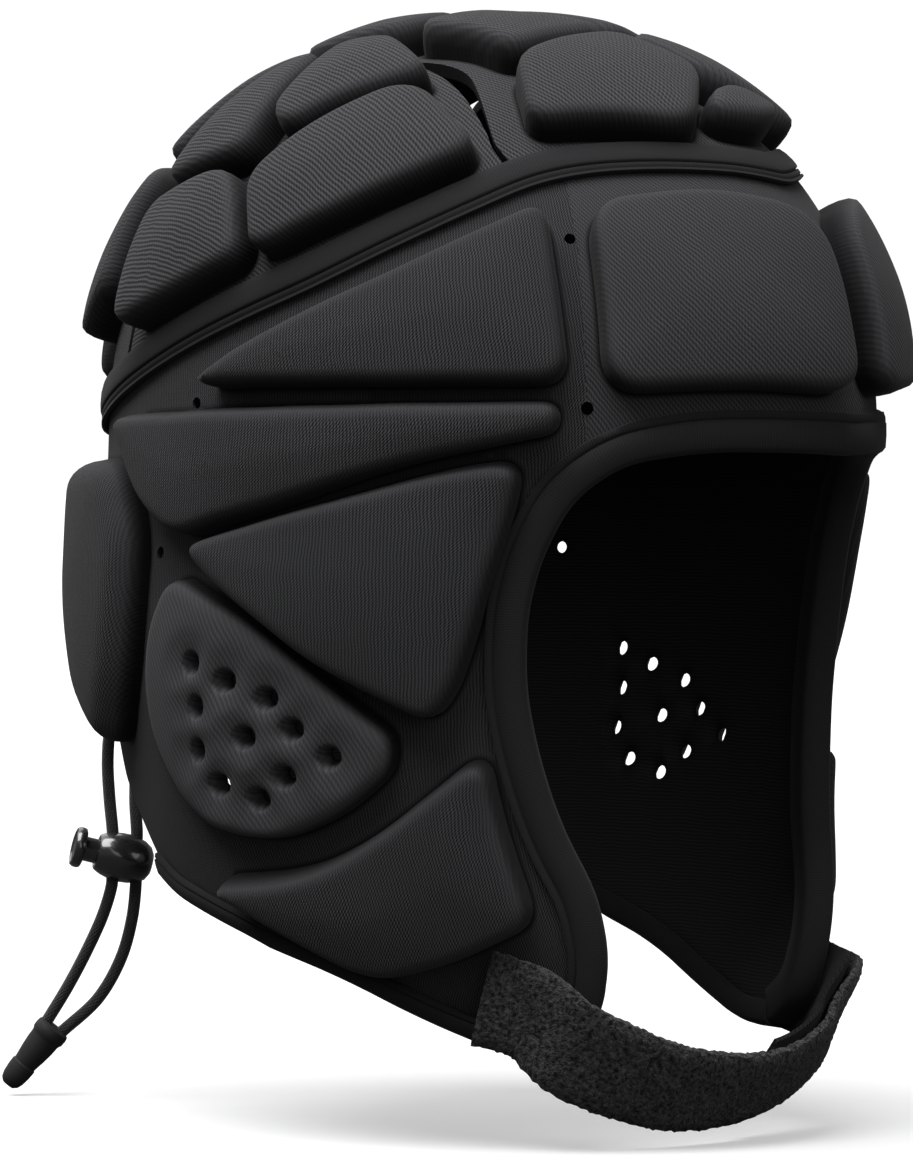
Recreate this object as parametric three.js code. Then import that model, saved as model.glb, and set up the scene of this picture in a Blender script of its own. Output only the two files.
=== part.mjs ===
// Rugby scrum cap: moulded foam panels under knitted cloth, edge bindings, a chin strap,
// a laced back and a cord lock. Millimetres, +Z up, the face looks along -Y.
// The origin is the top of the hollow, where the crown of the head bears.
import * as THREE from 'three';
import { mergeVertices } from 'three/addons/utils/BufferGeometryUtils.js';

// Main form
const HALF_WIDTH = 77; // outer face of the sheet at ear level, from the middle plane
const HALF_LENGTH = 96; // outer face of the sheet, front or back
const DOME = 89; // from the widest level up to the sheet's outer face at the top
const DROP = 150; // from the widest level down to the level 2 line, below the cheek flaps
const PROW = 10; // how far the forehead's middle line stands forward of the oval
const PROW_SPAN = 38; // degrees from the middle line to where the prow fades out
const DOME_POWER = 2.1; // 2 is a true ellipse, more is fuller

// Foam
const SHEET = 3; // flange and channel floor
const PAD_RISE = 9; // pad height above the flange
const PAD_CROWN = 1.5; // extra height in a pad's middle
const SHOULDER_RISE = 0.68; // share of the pad's height at its shoulder
const SHOULDER_INSET = 1.2;
const TOP_INSET = 4;

// Trim
const TAPE_WIDTH = 9; // crown binding
const TAPE_THICK = 2;
const BINDING_WIDTH = 7.5; // face binding, from the sheet's edge inwards
const BINDING_WALL = 1.6;
const HEM_WIDTH = 4.5;
const STRAP_WIDTH = 23;
const STRAP_THICK = 2.6; // loop pile on webbing
const TAB_THICK = 1.8; // plain webbing under it
const CORD = 3; // cord diameter
const GAP = 0.35; // clearance between neighbouring pieces
const EASE = 0.65; // clearance of trim that lies on a curved face

// Holes
const VENT = 2.6; // diameter
const VENT_RISE = 0.72; // share of the pad's height at the rim of a vent in it
const EYELET = 5;

// Cord lock, along its plunger's axis
const LOCK_LENGTH = 14;
const LOCK_RADIUS = 6;
const BUTTON_RADIUS = 5;
const BUTTON_HEAD = 3;
const BUTTON_STEM_RADIUS = 3;
const BUTTON_STEM = 6;
const BUTTON_TRAVEL = 3;
const LOCK_TURN = 140; // degrees from +X to the plunger's outward direction, seen from above
const LOCK_TILT = 14; // degrees that the plunger points up
const CORD_END_LENGTH = 17;
const CORD_END_RADIUS = 3.9;

// Mesh steps
const PAD_STEP = 8;
const EDGE_STEP = 8.5;
const PAD_GRID = 17;
const FLANGE_GRID = 12;
const LINING_GRID = 15;

// Charts: millimetres on the flat pattern for a degree of turn and for a level
const ARC = 1.5;
const RUN = 145;

const CHARCOAL = 0x2b2b2e;
const DARK = 0x1c1c1f;

// Turns a table's rows into records with named columns.
function table(columns, rows) {
  return rows.map((row) => Object.fromEntries(columns.map((column, i) => [column, row[i]])));
}

// Level sections below the widest level. Width is a share of HALF_WIDTH, the others of HALF_LENGTH.
// Square under 1 fills the oval's corners.
const SECTIONS = table(['drop', 'width', 'front', 'back', 'middle', 'square'], [
  [0.0, 1.0, 1.0, 1.0, 0.04, 1.0],
  [0.15, 1.0, 0.99, 1.0, 0.085, 1.0],
  [0.3, 1.0, 0.96, 0.98, 0.125, 0.95],
  [0.45, 0.975, 0.915, 0.915, 0.165, 0.88],
  [0.6, 0.92, 0.89, 0.835, 0.19, 0.8],
  [0.75, 0.83, 0.895, 0.75, 0.145, 0.75],
  [0.9, 0.7, 0.9, 0.665, 0.04, 0.75],
  [1.0, 0.62, 0.9, 0.605, -0.04, 0.75],
]);

// The seam between crown and band: its level at each turn from the front.
const SEAM = table(['turn', 'level'], [
  [0, 0.56], [12, 0.543], [25, 0.537], [38, 0.547], [48, 0.572], [58, 0.62], [70, 0.685],
  [84, 0.762], [100, 0.83], [120, 0.905], [138, 0.955], [160, 0.985], [180, 0.995],
]);

// The band's free edges on the right side, as corners with a rounding radius.
// First the face opening from the forehead's middle down to the cheek flap.
const FACE_EDGE = table(['turn', 'level', 'round'], [
  [0, 1.03, 0], [-12.5, 1.025, 30], [-25, 1.025, 30], [-36, 1.045, 30], [-43.5, 1.1, 30],
  [-47.3, 1.19, 30], [-48.2, 1.28, 40], [-47, 1.38, 40], [-44.2, 1.48, 40], [-39.8, 1.6, 40],
  [-35.5, 1.7, 40], [-35.5, 1.79, 25], [-40, 1.88, 18],
]);
// Then the hem from the flap's tip to the back of the ear, and the nape.
const HEM_EDGE = table(['turn', 'level', 'round'], [
  [-49, 1.925, 20], [-59, 1.925, 25], [-70, 1.88, 30], [-80, 1.82, 30], [-93, 1.765, 30],
  [-104, 1.735, 30], [-114, 1.71, 12],
]);
const NAPE_EDGE = table(['turn', 'level', 'round'], [
  [-121, 1.675, 10], [-126, 1.6, 25], [-134, 1.535, 30], [-144, 1.52, 30], [-158, 1.565, 30],
  [-174, 1.61, 12],
]);
const SPLIT_TOP = 178.8; // turn of the back split's edge at the crown binding

const BAND_PADS = {
  forehead: table(['turn', 'level', 'round'], [
    [-38.8, 0.66, 9], [-21, 0.63, 40], [-3, 0.67, 12], [-2.4, 0.955, 8], [-20, 0.942, 40],
    [-38.5, 0.955, 9],
  ]),
  temple_upper: table(['turn', 'level', 'round'], [
    [-96, 0.936, 14], [-89, 0.882, 25], [-70, 0.79, 25], [-55, 0.71, 25], [-46.4, 0.67, 10],
    [-44.3, 0.936, 10],
  ]),
  temple_middle: table(['turn', 'level', 'round'], [
    [-116, 0.988, 10], [-79, 0.975, 60], [-46.5, 0.97, 10], [-46.5, 1.012, 10], [-65, 1.048, 30],
    [-82, 1.112, 30], [-97, 1.158, 9], [-106, 1.12, 14],
  ]),
  temple_lower: table(['turn', 'level', 'round'], [
    [-95.5, 1.182, 12], [-77, 1.122, 30], [-61, 1.072, 30], [-50.5, 1.052, 8], [-56, 1.39, 14],
    [-58, 1.425, 8], [-72, 1.362, 30], [-90, 1.23, 14],
  ]),
  ear: table(['turn', 'level', 'round'], [
    [-101, 1.222, 9], [-105.5, 1.3, 30], [-106.5, 1.385, 30], [-104.5, 1.47, 30],
    [-97.5, 1.56, 30], [-88, 1.612, 30], [-79, 1.617, 30], [-70, 1.577, 25], [-63, 1.51, 14],
    [-63, 1.458, 10], [-75, 1.368, 40], [-86, 1.283, 40],
  ]),
  cheek: table(['turn', 'level', 'round'], [
    [-50.5, 1.49, 8], [-47, 1.62, 40], [-45, 1.73, 9], [-60.5, 1.79, 25], [-70, 1.812, 10],
    [-90.5, 1.685, 12], [-77.5, 1.68, 60], [-65, 1.62, 25],
  ]),
  nape: table(['turn', 'level', 'round'], [
    [-118, 1.045, 9], [-145, 1.055, 40], [-168, 1.06, 9], [-167, 1.36, 9], [-150, 1.39, 40],
    [-134, 1.43, 14], [-120, 1.5, 9], [-113, 1.38, 30], [-111, 1.27, 30], [-111, 1.17, 14],
  ]),
};

const EAR_VENTS = table(['turn', 'level'], [
  [-94, 1.355], [-87.5, 1.38], [-81, 1.405], [-92.5, 1.42], [-77, 1.45], [-84, 1.463],
  [-92, 1.485], [-71.5, 1.49], [-88, 1.535], [-78, 1.52], [-82, 1.555],
]);
const CHANNEL_VENTS = table(['turn', 'level'], [[-42, 0.7], [-41, 0.975], [-102, 0.965], [-108, 1.19]]);

// Lacing eyelets: levels down the back, and the turn from the middle line behind.
const EYELET_LEVELS = [1.08, 1.19, 1.3];
const EYELET_TURN = 9;
const LOOP_EYELET_LEVEL = 1.385;

// Crown pattern, right half, as shares of RUN across and back from the top of the head.
const CENTRE_EDGE = table(['across', 'back', 'round'], [
  [-0.404, -0.3, 6], [-0.385, -0.278, 6], [-0.235, -0.13, 8], [-0.2, -0.03, 14], [-0.2, 0.1, 14],
  [-0.235, 0.22, 12], [-0.35, 0.36, 12], [-0.53, 0.455, 14], [-0.7, 0.515, 10],
]);
const CENTRE_FRONT_TURN = -49.2; // where the centre panel leaves the seam in front
const CENTRE_BACK_TURN = -127; // and where it meets it again behind
const SIDE_EDGE = table(['across', 'back', 'round'], [
  [-0.706, 0.496, 10], [-0.61, 0.415, 14], [-0.4, 0.315, 12], [-0.26, 0.2, 12], [-0.215, 0.1, 12],
  [-0.216, -0.01, 12], [-0.29, -0.14, 12], [-0.395, -0.279, 6], [-0.412, -0.296, 6],
]);
const SIDE_FRONT_TURN = -50.6;
const SIDE_BACK_TURN = -125;

const CENTRE_MIDDLE_PADS = {
  crown_front_middle: table(['across', 'back', 'round'], [
    [-0.048, -0.4, 6], [0.048, -0.4, 6], [0.118, -0.462, 8], [0, -0.485, 40], [-0.118, -0.462, 8],
  ]),
};
const CENTRE_PADS = {
  crown_front: table(['across', 'back', 'round'], [
    [-0.235, -0.232, 8], [-0.017, -0.232, 8], [-0.017, -0.375, 8], [-0.145, -0.485, 10],
    [-0.355, -0.345, 9],
  ]),
  crown_second: table(['across', 'back', 'round'], [
    [-0.175, -0.1, 9], [-0.165, 0.0, 9], [-0.017, 0.0, 8], [-0.017, -0.202, 8], [-0.21, -0.202, 9],
  ]),
  crown_third: table(['across', 'back', 'round'], [
    [-0.165, 0.03, 9], [-0.2, 0.2, 9], [-0.017, 0.215, 8], [-0.017, 0.03, 8],
  ]),
  crown_fourth: table(['across', 'back', 'round'], [
    [-0.235, 0.25, 9], [-0.36, 0.41, 9], [-0.2, 0.485, 20], [-0.017, 0.5, 8], [-0.017, 0.25, 8],
  ]),
  crown_fifth: table(['across', 'back', 'round'], [
    [-0.39, 0.44, 9], [-0.58, 0.53, 9], [-0.5, 0.705, 10], [-0.3, 0.7, 20], [-0.21, 0.53, 9],
  ]),
  crown_sixth: table(['across', 'back', 'round'], [
    [-0.165, 0.53, 9], [-0.017, 0.54, 8], [-0.017, 0.925, 8], [-0.29, 0.875, 10], [-0.255, 0.73, 20],
  ]),
};
const SIDE_PADS = {
  side_upper_front: table(['across', 'back', 'round'], [
    [-0.24, 0.0, 8], [-0.335, -0.125, 9], [-0.375, -0.085, 9], [-0.49, 0.045, 9], [-0.45, 0.095, 9],
    [-0.245, 0.085, 8],
  ]),
  side_upper_back: table(['across', 'back', 'round'], [
    [-0.255, 0.12, 8], [-0.45, 0.13, 8], [-0.53, 0.13, 10], [-0.505, 0.33, 9], [-0.4, 0.28, 12],
    [-0.285, 0.19, 9],
  ]),
  side_lower_front: table(['across', 'back', 'round'], [
    [-0.6, 0.065, 9], [-0.4, -0.11, 9], [-0.39, -0.155, 9], [-0.463, -0.305, 8],
    [-0.565, -0.235, 40], [-0.65, -0.14, 40], [-0.715, -0.035, 20], [-0.725, 0.01, 9],
  ]),
  side_lower_back: table(['across', 'back', 'round'], [
    [-0.57, 0.14, 8], [-0.55, 0.345, 9], [-0.62, 0.38, 20], [-0.735, 0.42, 9], [-0.765, 0.27, 30],
    [-0.76, 0.15, 20], [-0.74, 0.045, 9], [-0.625, 0.1, 9],
  ]),
};

// Chin strap centre line. Both ends lie on the cheek flaps. Between them across is a share of
// HALF_WIDTH, ahead of HALF_LENGTH and low of DROP below the widest level. Roll tips the strap's
// face down, in degrees.
const STRAP_RIGHT_END = table(['turn', 'level'], [[-57, 1.845], [-50, 1.87]]);
const STRAP_LEFT_END = table(['turn', 'level'], [[44, 1.872], [51, 1.86], [58, 1.845]]);
const STRAP_ROUTE = table(['across', 'ahead', 'low'], [
  [-0.575, 0.645, 0.925], [-0.44, 0.71, 0.963], [-0.29, 0.775, 0.99], [-0.1, 0.815, 0.998],
  [0.1, 0.83, 0.986], [0.3, 0.82, 0.95], [0.47, 0.78, 0.89],
]);
const STRAP_ROLL = table(['share', 'roll'], [[0, 14], [0.25, 30], [0.5, 42], [0.75, 30], [1, 12]]);
const TAB_FROM = 0.5; // shares of the strap's route between which the plain webbing lies under it
const TAB_TO = 0.97;

// The free cord's chosen routes, in millimetres: from outside an eyelet to the lock, and from
// the lock to the end.
const LOOP_ROUTES = {
  right: [[-14.6, 98.5, -147], [-12.6, 105.5, -152], [-11, 110.2, -159], [-10.4, 111.6, -167],
    [-10.6, 110.8, -176], [-11, 109.4, -184.2]],
  left: [[12.6, 98.5, -147], [7.4, 104, -151], [2, 107.4, -157.5], [-3.2, 108.1, -166],
    [-5.6, 106.9, -175.5], [-6.6, 105.4, -184.2]],
};
const TAIL_ROUTES = {
  right: [[-11.5, 109.2, -196.8], [-12.6, 111, -204], [-14.6, 114.6, -213], [-17, 118.8, -222],
    [-20, 123.4, -231]],
  left: [[-7, 105.4, -196.8], [-7.2, 106.4, -205], [-8.4, 109, -215], [-11.5, 113.8, -225],
    [-16.6, 120.2, -232.6]],
};
const LOCK_AT = [-9, 107.3, -190.5];

// Smooth value between a table's rows, by a cubic through them.
function between(rows, key, value, at) {
  const last = rows.length - 1;
  const x = Math.min(Math.max(at, rows[0][key]), rows[last][key]);
  let i = 0;
  while (i < last - 1 && x > rows[i + 1][key]) {
    i += 1;
  }
  const slope = (j) => {
    const a = rows[Math.max(j - 1, 0)];
    const b = rows[Math.min(j + 1, last)];
    return (b[value] - a[value]) / (b[key] - a[key]);
  };
  const span = rows[i + 1][key] - rows[i][key];
  const s = (x - rows[i][key]) / span;
  const rise = rows[i + 1][value] - rows[i][value];
  const start = slope(i) * span;
  const end = slope(i + 1) * span;
  return rows[i][value] + s * (start + s * (3 * rise - 2 * start - end + s * (start + end - 2 * rise)));
}

// A point of the sheet's outer face. Turn is in degrees from the front, negative to the
// wearer's right; level is 0 at the top, 1 at the widest level and 2 at DROP below it.
function face(turn, level) {
  const angle = THREE.MathUtils.degToRad(turn);
  const up = (Math.min(Math.max(level, 1e-4), 1) * Math.PI) / 2;
  const reach = Math.sin(up) ** (2 / DOME_POWER);
  const drop = Math.min(Math.max(level - 1, 0), 1);
  const row = (key) => between(SECTIONS, 'drop', key, drop);
  const side = Math.sin(angle);
  const ahead = Math.cos(angle);
  const x = Math.sign(side) * Math.abs(side) ** row('square') * row('width') * HALF_WIDTH;
  const middle = row('middle') * HALF_LENGTH;
  const end = (ahead > 0 ? -row('front') : row('back')) * HALF_LENGTH;
  const y = middle + (end - middle) * Math.abs(ahead);
  const off = Math.abs(((turn + 540) % 360) - 180);
  const bump = off < PROW_SPAN ? Math.cos(((off / PROW_SPAN) * Math.PI) / 2) ** 2 : 0;
  const prow = PROW * bump * Math.min(level / 0.55, 1) ** 1.2;
  const top = SHEET - DOME;
  const height = level < 1 ? DOME * Math.max(Math.cos(up), 0) ** (2 / DOME_POWER) : -drop * DROP;
  return new THREE.Vector3(reach * x, reach * y - prow, top + height);
}

// The same point moved out along the surface's normal.
function shell(turn, level, rise) {
  const point = face(turn, level);
  const away = Math.max(level, 0.02);
  const down = face(turn, away + 0.004).sub(face(turn, away - 0.004));
  const along = face(turn + 0.4, away).sub(face(turn - 0.4, away));
  return point.addScaledVector(down.cross(along).normalize(), rise);
}

// Flat patterns of the band and the crown, and the way back to the head.
const bandChart = {
  flat: (turn, level) => new THREE.Vector2(turn * ARC, -level * RUN),
  lift: (p, rise) => shell(p.x / ARC, -p.y / RUN, rise),
};
const crownChart = {
  flat: (turn, level) => {
    const angle = THREE.MathUtils.degToRad(turn);
    return new THREE.Vector2(Math.sin(angle), -Math.cos(angle)).multiplyScalar(level * RUN);
  },
  lift: (p, rise) => shell(THREE.MathUtils.radToDeg(Math.atan2(p.x, -p.y)), p.length() / RUN, rise),
};

const seamLevel = (turn) => between(SEAM, 'turn', 'level', Math.abs(turn));

// A run of points along the seam, a little above or below it on the pattern.
function seamRun(chart, from, to, aside) {
  const count = Math.max(2, Math.round((Math.abs(to - from) * ARC) / EDGE_STEP));
  return Array.from({ length: count + 1 }, (_, i) => {
    const turn = THREE.MathUtils.lerp(from, to, i / count);
    return { point: chart.flat(turn, seamLevel(turn) + aside / RUN), round: 0 };
  });
}

const bandCorners = (rows) =>
  rows.map((row) => ({ point: bandChart.flat(row.turn, row.level), round: row.round }));
const crownCorners = (rows) =>
  rows.map((row) => ({
    point: new THREE.Vector2(row.across, row.back).multiplyScalar(RUN),
    round: row.round,
  }));

// Mirrors a run of corners to the wearer's left, kept running the same way round.
function mirrored(corners) {
  return corners
    .map(({ point, round }) => ({ point: new THREE.Vector2(-point.x, point.y), round }))
    .reverse();
}

// A path through corners, each cut by a soft arc of its rounding radius.
function cornerPath(corners, closed) {
  const path = new THREE.Path();
  const count = corners.length;
  corners.forEach(({ point, round }, i) => {
    const before = corners[(i + count - 1) % count].point;
    const after = corners[(i + 1) % count].point;
    const end = !closed && (i === 0 || i === count - 1);
    const reach = Math.min(round, 0.45 * point.distanceTo(before), 0.45 * point.distanceTo(after));
    const enter = point.clone().lerp(before, end ? 0 : reach / point.distanceTo(before));
    const leave = point.clone().lerp(after, end ? 0 : reach / point.distanceTo(after));
    if (i === 0) {
      path.moveTo(enter.x, enter.y);
    } else {
      path.lineTo(enter.x, enter.y);
    }
    if (reach > 0 && !end) {
      path.quadraticCurveTo(point.x, point.y, leave.x, leave.y);
    }
  });
  if (closed) {
    path.closePath();
  }
  path.curves = path.curves.filter((curve) => curve.getLength() > 1e-6);
  return path;
}

// A closed loop of evenly spaced points, counter-clockwise on the pattern.
function loop(corners, step) {
  const path = cornerPath(corners, true);
  const points = path.getSpacedPoints(Math.round(path.getLength() / step)).slice(0, -1);
  return THREE.ShapeUtils.isClockWise(points) ? points.reverse() : points;
}

function inside(point, ring) {
  let hit = false;
  ring.forEach((a, i) => {
    const b = ring[(i + 1) % ring.length];
    const across = ((b.x - a.x) * (point.y - a.y)) / (b.y - a.y) + a.x;
    if (a.y > point.y !== b.y > point.y && point.x < across) {
      hit = !hit;
    }
  });
  return hit;
}

function distance(point, ring) {
  let best = Infinity;
  ring.forEach((a, i) => {
    const b = ring[(i + 1) % ring.length];
    const side = b.clone().sub(a);
    const s = Math.min(Math.max(point.clone().sub(a).dot(side) / side.lengthSq(), 0), 1);
    best = Math.min(best, point.distanceTo(a.clone().addScaledVector(side, s)));
  });
  return best;
}

// A ring moved inwards, each point along the mean normal of its two sides. In a narrow corner a
// point moves less, and its share says how much less.
function inset(ring, amount) {
  return ring.map((point, i) => {
    const before = ring[(i + ring.length - 1) % ring.length];
    const after = ring[(i + 1) % ring.length];
    const along = after.clone().sub(before).normalize();
    const moved = (share) =>
      new THREE.Vector2(point.x - along.y * amount * share, point.y + along.x * amount * share);
    const share = [1, 0.8, 0.6, 0.4].find((s) => distance(moved(s), ring) > 0.8 * amount * s) ?? 0.3;
    return { point: moved(share), share };
  });
}

// Points of a triangular grid inside a ring and clear of others.
function grid(ring, step, margin, others) {
  const box = new THREE.Box2().setFromPoints(ring);
  const points = [];
  let shifted = false;
  for (let y = box.min.y + step / 2; y < box.max.y; y += step * 0.87) {
    for (let x = box.min.x + (shifted ? step : step / 2); x < box.max.x; x += step) {
      const point = new THREE.Vector2(x, y);
      if (inside(point, ring) && distance(point, ring) > margin
        && others.every((other) => !inside(point, other) && distance(point, other) > margin)) {
        points.push(point);
      }
    }
    shifted = !shifted;
  }
  return points;
}

// Delaunay triangles of flat points, by inserting them one at a time.
function triangulate(points) {
  const box = new THREE.Box2().setFromPoints(points);
  const centre = box.getCenter(new THREE.Vector2());
  const reach = box.getSize(new THREE.Vector2()).length() * 20;
  const all = [...points];
  [90, 210, 330].forEach((turn) => {
    const angle = THREE.MathUtils.degToRad(turn);
    all.push(new THREE.Vector2(Math.cos(angle), Math.sin(angle)).multiplyScalar(reach).add(centre));
  });
  const circle = (a, b, c) => {
    const [p, q, r] = [all[a], all[b], all[c]];
    const d = 2 * (p.x * (q.y - r.y) + q.x * (r.y - p.y) + r.x * (p.y - q.y));
    const [pp, qq, rr] = [p.lengthSq(), q.lengthSq(), r.lengthSq()];
    const x = (pp * (q.y - r.y) + qq * (r.y - p.y) + rr * (p.y - q.y)) / d;
    const y = (pp * (r.x - q.x) + qq * (p.x - r.x) + rr * (q.x - p.x)) / d;
    return { corners: [a, b, c], x, y, square: (p.x - x) ** 2 + (p.y - y) ** 2 };
  };
  let triangles = [circle(points.length, points.length + 1, points.length + 2)];
  points.forEach((point, i) => {
    const edges = new Map();
    triangles = triangles.filter((triangle) => {
      const { corners: [a, b, c], x, y, square } = triangle;
      if ((point.x - x) ** 2 + (point.y - y) ** 2 >= square * (1 - 1e-9)) {
        return true;
      }
      [[a, b], [b, c], [c, a]].forEach(([from, to]) => {
        if (!edges.delete(`${to} ${from}`)) {
          edges.set(`${from} ${to}`, [from, to]);
        }
      });
      return false;
    });
    edges.forEach(([from, to]) => triangles.push(circle(from, to, i)));
  });
  return triangles
    .map(({ corners }) => corners)
    .filter((corners) => corners.every((i) => i < points.length));
}

// The triangles that lie within an outline and out of its holes.
function fill(points, outline, holes) {
  return triangulate(points).filter(([a, b, c]) => {
    const middle = points[a].clone().add(points[b]).add(points[c]).divideScalar(3);
    return inside(middle, outline) && holes.every((hole) => !inside(middle, hole));
  });
}

// A moulded foam panel: channel floors and pads outside, a plain lining face inside,
// and a wall round its outline and round each hole.
function panel(chart, outline, pads, holes) {
  const rims = [outline, ...holes];
  const raised = (rim) => pads.some((pad) => inside(rim[0], pad));
  const outer = rims.flatMap((rim) =>
    rim.map((point) => ({ point, rise: raised(rim) ? PAD_RISE * VENT_RISE : 0 })));
  pads.forEach((base) => {
    const shoulder = inset(base, SHOULDER_INSET);
    const top = inset(base, TOP_INSET);
    base.forEach((point) => outer.push({ point, rise: 0 }));
    shoulder.forEach(({ point, share }) => outer.push({ point, rise: PAD_RISE * SHOULDER_RISE * share }));
    top.forEach(({ point, share }) => outer.push({ point, rise: PAD_RISE * share }));
    const within = holes.filter((hole) => inside(hole[0], base));
    grid(top.map(({ point }) => point), PAD_GRID, PAD_GRID * 0.4, within).forEach((point) => {
      outer.push({ point, rise: PAD_RISE + PAD_CROWN });
    });
  });
  grid(outline, FLANGE_GRID, FLANGE_GRID * 0.45, [...pads, ...holes]).forEach((point) => {
    outer.push({ point, rise: 0 });
  });
  const inner = [...rims.flat(), ...grid(outline, LINING_GRID, LINING_GRID * 0.45, holes)];

  const positions = [];
  const push = (...corners) => corners.forEach((corner) => positions.push(corner.x, corner.y, corner.z));
  const outside = outer.map(({ point, rise }) => chart.lift(point, rise));
  const lining = inner.map((point) => chart.lift(point, -SHEET));
  fill(outer.map(({ point }) => point), outline, holes).forEach(([a, b, c]) => {
    push(outside[a], outside[b], outside[c]);
  });
  fill(inner, outline, holes).forEach(([a, b, c]) => push(lining[a], lining[c], lining[b]));
  let first = 0;
  rims.forEach((rim, k) => {
    rim.forEach((_, i) => {
      const next = first + ((i + 1) % rim.length);
      const [a, b] = k === 0 ? [first + i, next] : [next, first + i];
      push(outside[a], lining[a], lining[b]);
      push(outside[a], lining[b], outside[b]);
    });
    first += rim.length;
  });
  return welded(positions);
}

function welded(positions) {
  const geometry = new THREE.BufferGeometry();
  geometry.setAttribute('position', new THREE.Float32BufferAttribute(positions, 3));
  const merged = mergeVertices(geometry, 1e-3);
  merged.computeVertexNormals();
  return merged;
}

// A hole's rim round a point of the pattern, with straight sides.
function hole(point, diameter, sides) {
  return Array.from({ length: sides }, (_, i) => {
    const angle = (i / sides) * Math.PI * 2;
    const radius = diameter / 2 / Math.cos(Math.PI / sides);
    return new THREE.Vector2(Math.cos(angle), Math.sin(angle)).multiplyScalar(radius).add(point);
  });
}

// Joins rings of points into a closed solid. An open run gets flat ends, cut by the section.
function sweep(rings, section, closed) {
  const positions = [];
  const push = (...corners) => corners.forEach((corner) => positions.push(corner.x, corner.y, corner.z));
  const last = closed ? rings.length : rings.length - 1;
  for (let i = 0; i < last; i += 1) {
    const a = rings[i];
    const b = rings[(i + 1) % rings.length];
    a.forEach((_, j) => {
      const k = (j + 1) % section.length;
      push(a[j], a[k], b[k]);
      push(a[j], b[k], b[j]);
    });
  }
  if (!closed) {
    const flat = section.map(([a, b]) => new THREE.Vector2(a, b));
    THREE.ShapeUtils.triangulateShape(flat, []).forEach(([a, b, c]) => {
      push(rings[0][a], rings[0][c], rings[0][b]);
      push(rings[last][a], rings[last][b], rings[last][c]);
    });
  }
  return welded(positions);
}

// Sweeps a section along pattern points. Its first direction lies on the surface, to the left of
// the run seen from outside, and its second points out of it.
function sweepOn(chart, points, section, closed) {
  const rings = points.map((point, i) => {
    const before = points[closed ? (i + points.length - 1) % points.length : Math.max(i - 1, 0)];
    const after = points[closed ? (i + 1) % points.length : Math.min(i + 1, points.length - 1)];
    const along = after.clone().sub(before).normalize();
    const aside = new THREE.Vector2(-along.y, along.x);
    const place = (a, b) => chart.lift(point.clone().addScaledVector(aside, a), b);
    const scale = place(1, 0).distanceTo(place(-1, 0)) / 2;
    return section.map(([a, b]) => place(a / scale, b));
  });
  return sweep(rings, section, closed);
}

const evenly = (path, step) => path.getSpacedPoints(Math.round(path.getLength() / step));

function material(color, roughness) {
  return new THREE.MeshStandardMaterial({ color, roughness, metalness: 0 });
}

function named(name, geometry, color, roughness) {
  const mesh = new THREE.Mesh(geometry, material(color, roughness));
  mesh.name = name;
  return mesh;
}

// The band's free edges as evenly spaced points, shared by the sheet and its bindings.
const faceEdge = evenly(cornerPath(bandCorners([...FACE_EDGE, HEM_EDGE[0]]), false), EDGE_STEP);
const hemEdge = evenly(cornerPath(bandCorners([...HEM_EDGE, NAPE_EDGE[0]]), false), EDGE_STEP);
const napeEdge = evenly(cornerPath(bandCorners(NAPE_EDGE), false), EDGE_STEP);
const flipped = (points) => points.map((point) => new THREE.Vector2(-point.x, point.y)).reverse();

// The band round forehead, ears, cheeks and nape, split behind for the lace.
function paddedBand() {
  const seam = seamRun(bandChart, -SPLIT_TOP, 0, GAP).map(({ point }) => point);
  const left = flipped(seam.slice(0, -1));
  const right = [...faceEdge.slice(0, -1), ...hemEdge.slice(0, -1), ...napeEdge];
  const edge = [...flipped(right).slice(0, -1), ...right];
  const outline = [...edge, ...seam, ...left].reverse();
  const both = (corners) => [loop(corners, PAD_STEP), loop(mirrored(corners), PAD_STEP)];
  const pads = Object.values(BAND_PADS).flatMap((rows) => both(bandCorners(rows)));
  const holes = [];
  const pair = (turn, level, diameter, sides) => {
    holes.push(hole(bandChart.flat(turn, level), diameter, sides));
    holes.push(hole(bandChart.flat(-turn, level), diameter, sides));
  };
  [...EAR_VENTS, ...CHANNEL_VENTS].forEach(({ turn, level }) => pair(turn, level, VENT, 5));
  [...EYELET_LEVELS, LOOP_EYELET_LEVEL].forEach((level) => pair(180 - EYELET_TURN, level, EYELET, 6));
  return named('padded_band', panel(bandChart, outline, pads, holes), CHARCOAL, 0.9);
}

// The crown's centre panel, from the forehead seam over the top to the back.
function crownCentre() {
  const right = [
    ...seamRun(crownChart, 0, CENTRE_FRONT_TURN, -GAP).slice(1),
    ...crownCorners(CENTRE_EDGE),
    ...seamRun(crownChart, CENTRE_BACK_TURN, -180, -GAP),
  ];
  const start = seamRun(crownChart, 0, -1, -GAP)[0];
  const outline = loop([start, ...right, ...mirrored(right.slice(0, -1))], EDGE_STEP);
  const pads = [
    ...Object.values(CENTRE_MIDDLE_PADS).map((rows) => loop(crownCorners(rows), PAD_STEP)),
    ...Object.values(CENTRE_PADS).flatMap((rows) =>
      [loop(crownCorners(rows), PAD_STEP), loop(mirrored(crownCorners(rows)), PAD_STEP)]),
  ];
  return named('crown_centre', panel(crownChart, outline, pads, []), CHARCOAL, 0.9);
}

function crownSide(name, hand) {
  const turned = (corners) => (hand < 0 ? corners : mirrored(corners));
  const corners = [
    ...seamRun(crownChart, SIDE_FRONT_TURN, SIDE_BACK_TURN, -GAP),
    ...crownCorners(SIDE_EDGE),
  ];
  const pads = Object.values(SIDE_PADS).map((rows) => loop(turned(crownCorners(rows)), PAD_STEP));
  return named(name, panel(crownChart, loop(turned(corners), EDGE_STEP), pads, []), CHARCOAL, 0.9);
}

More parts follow.
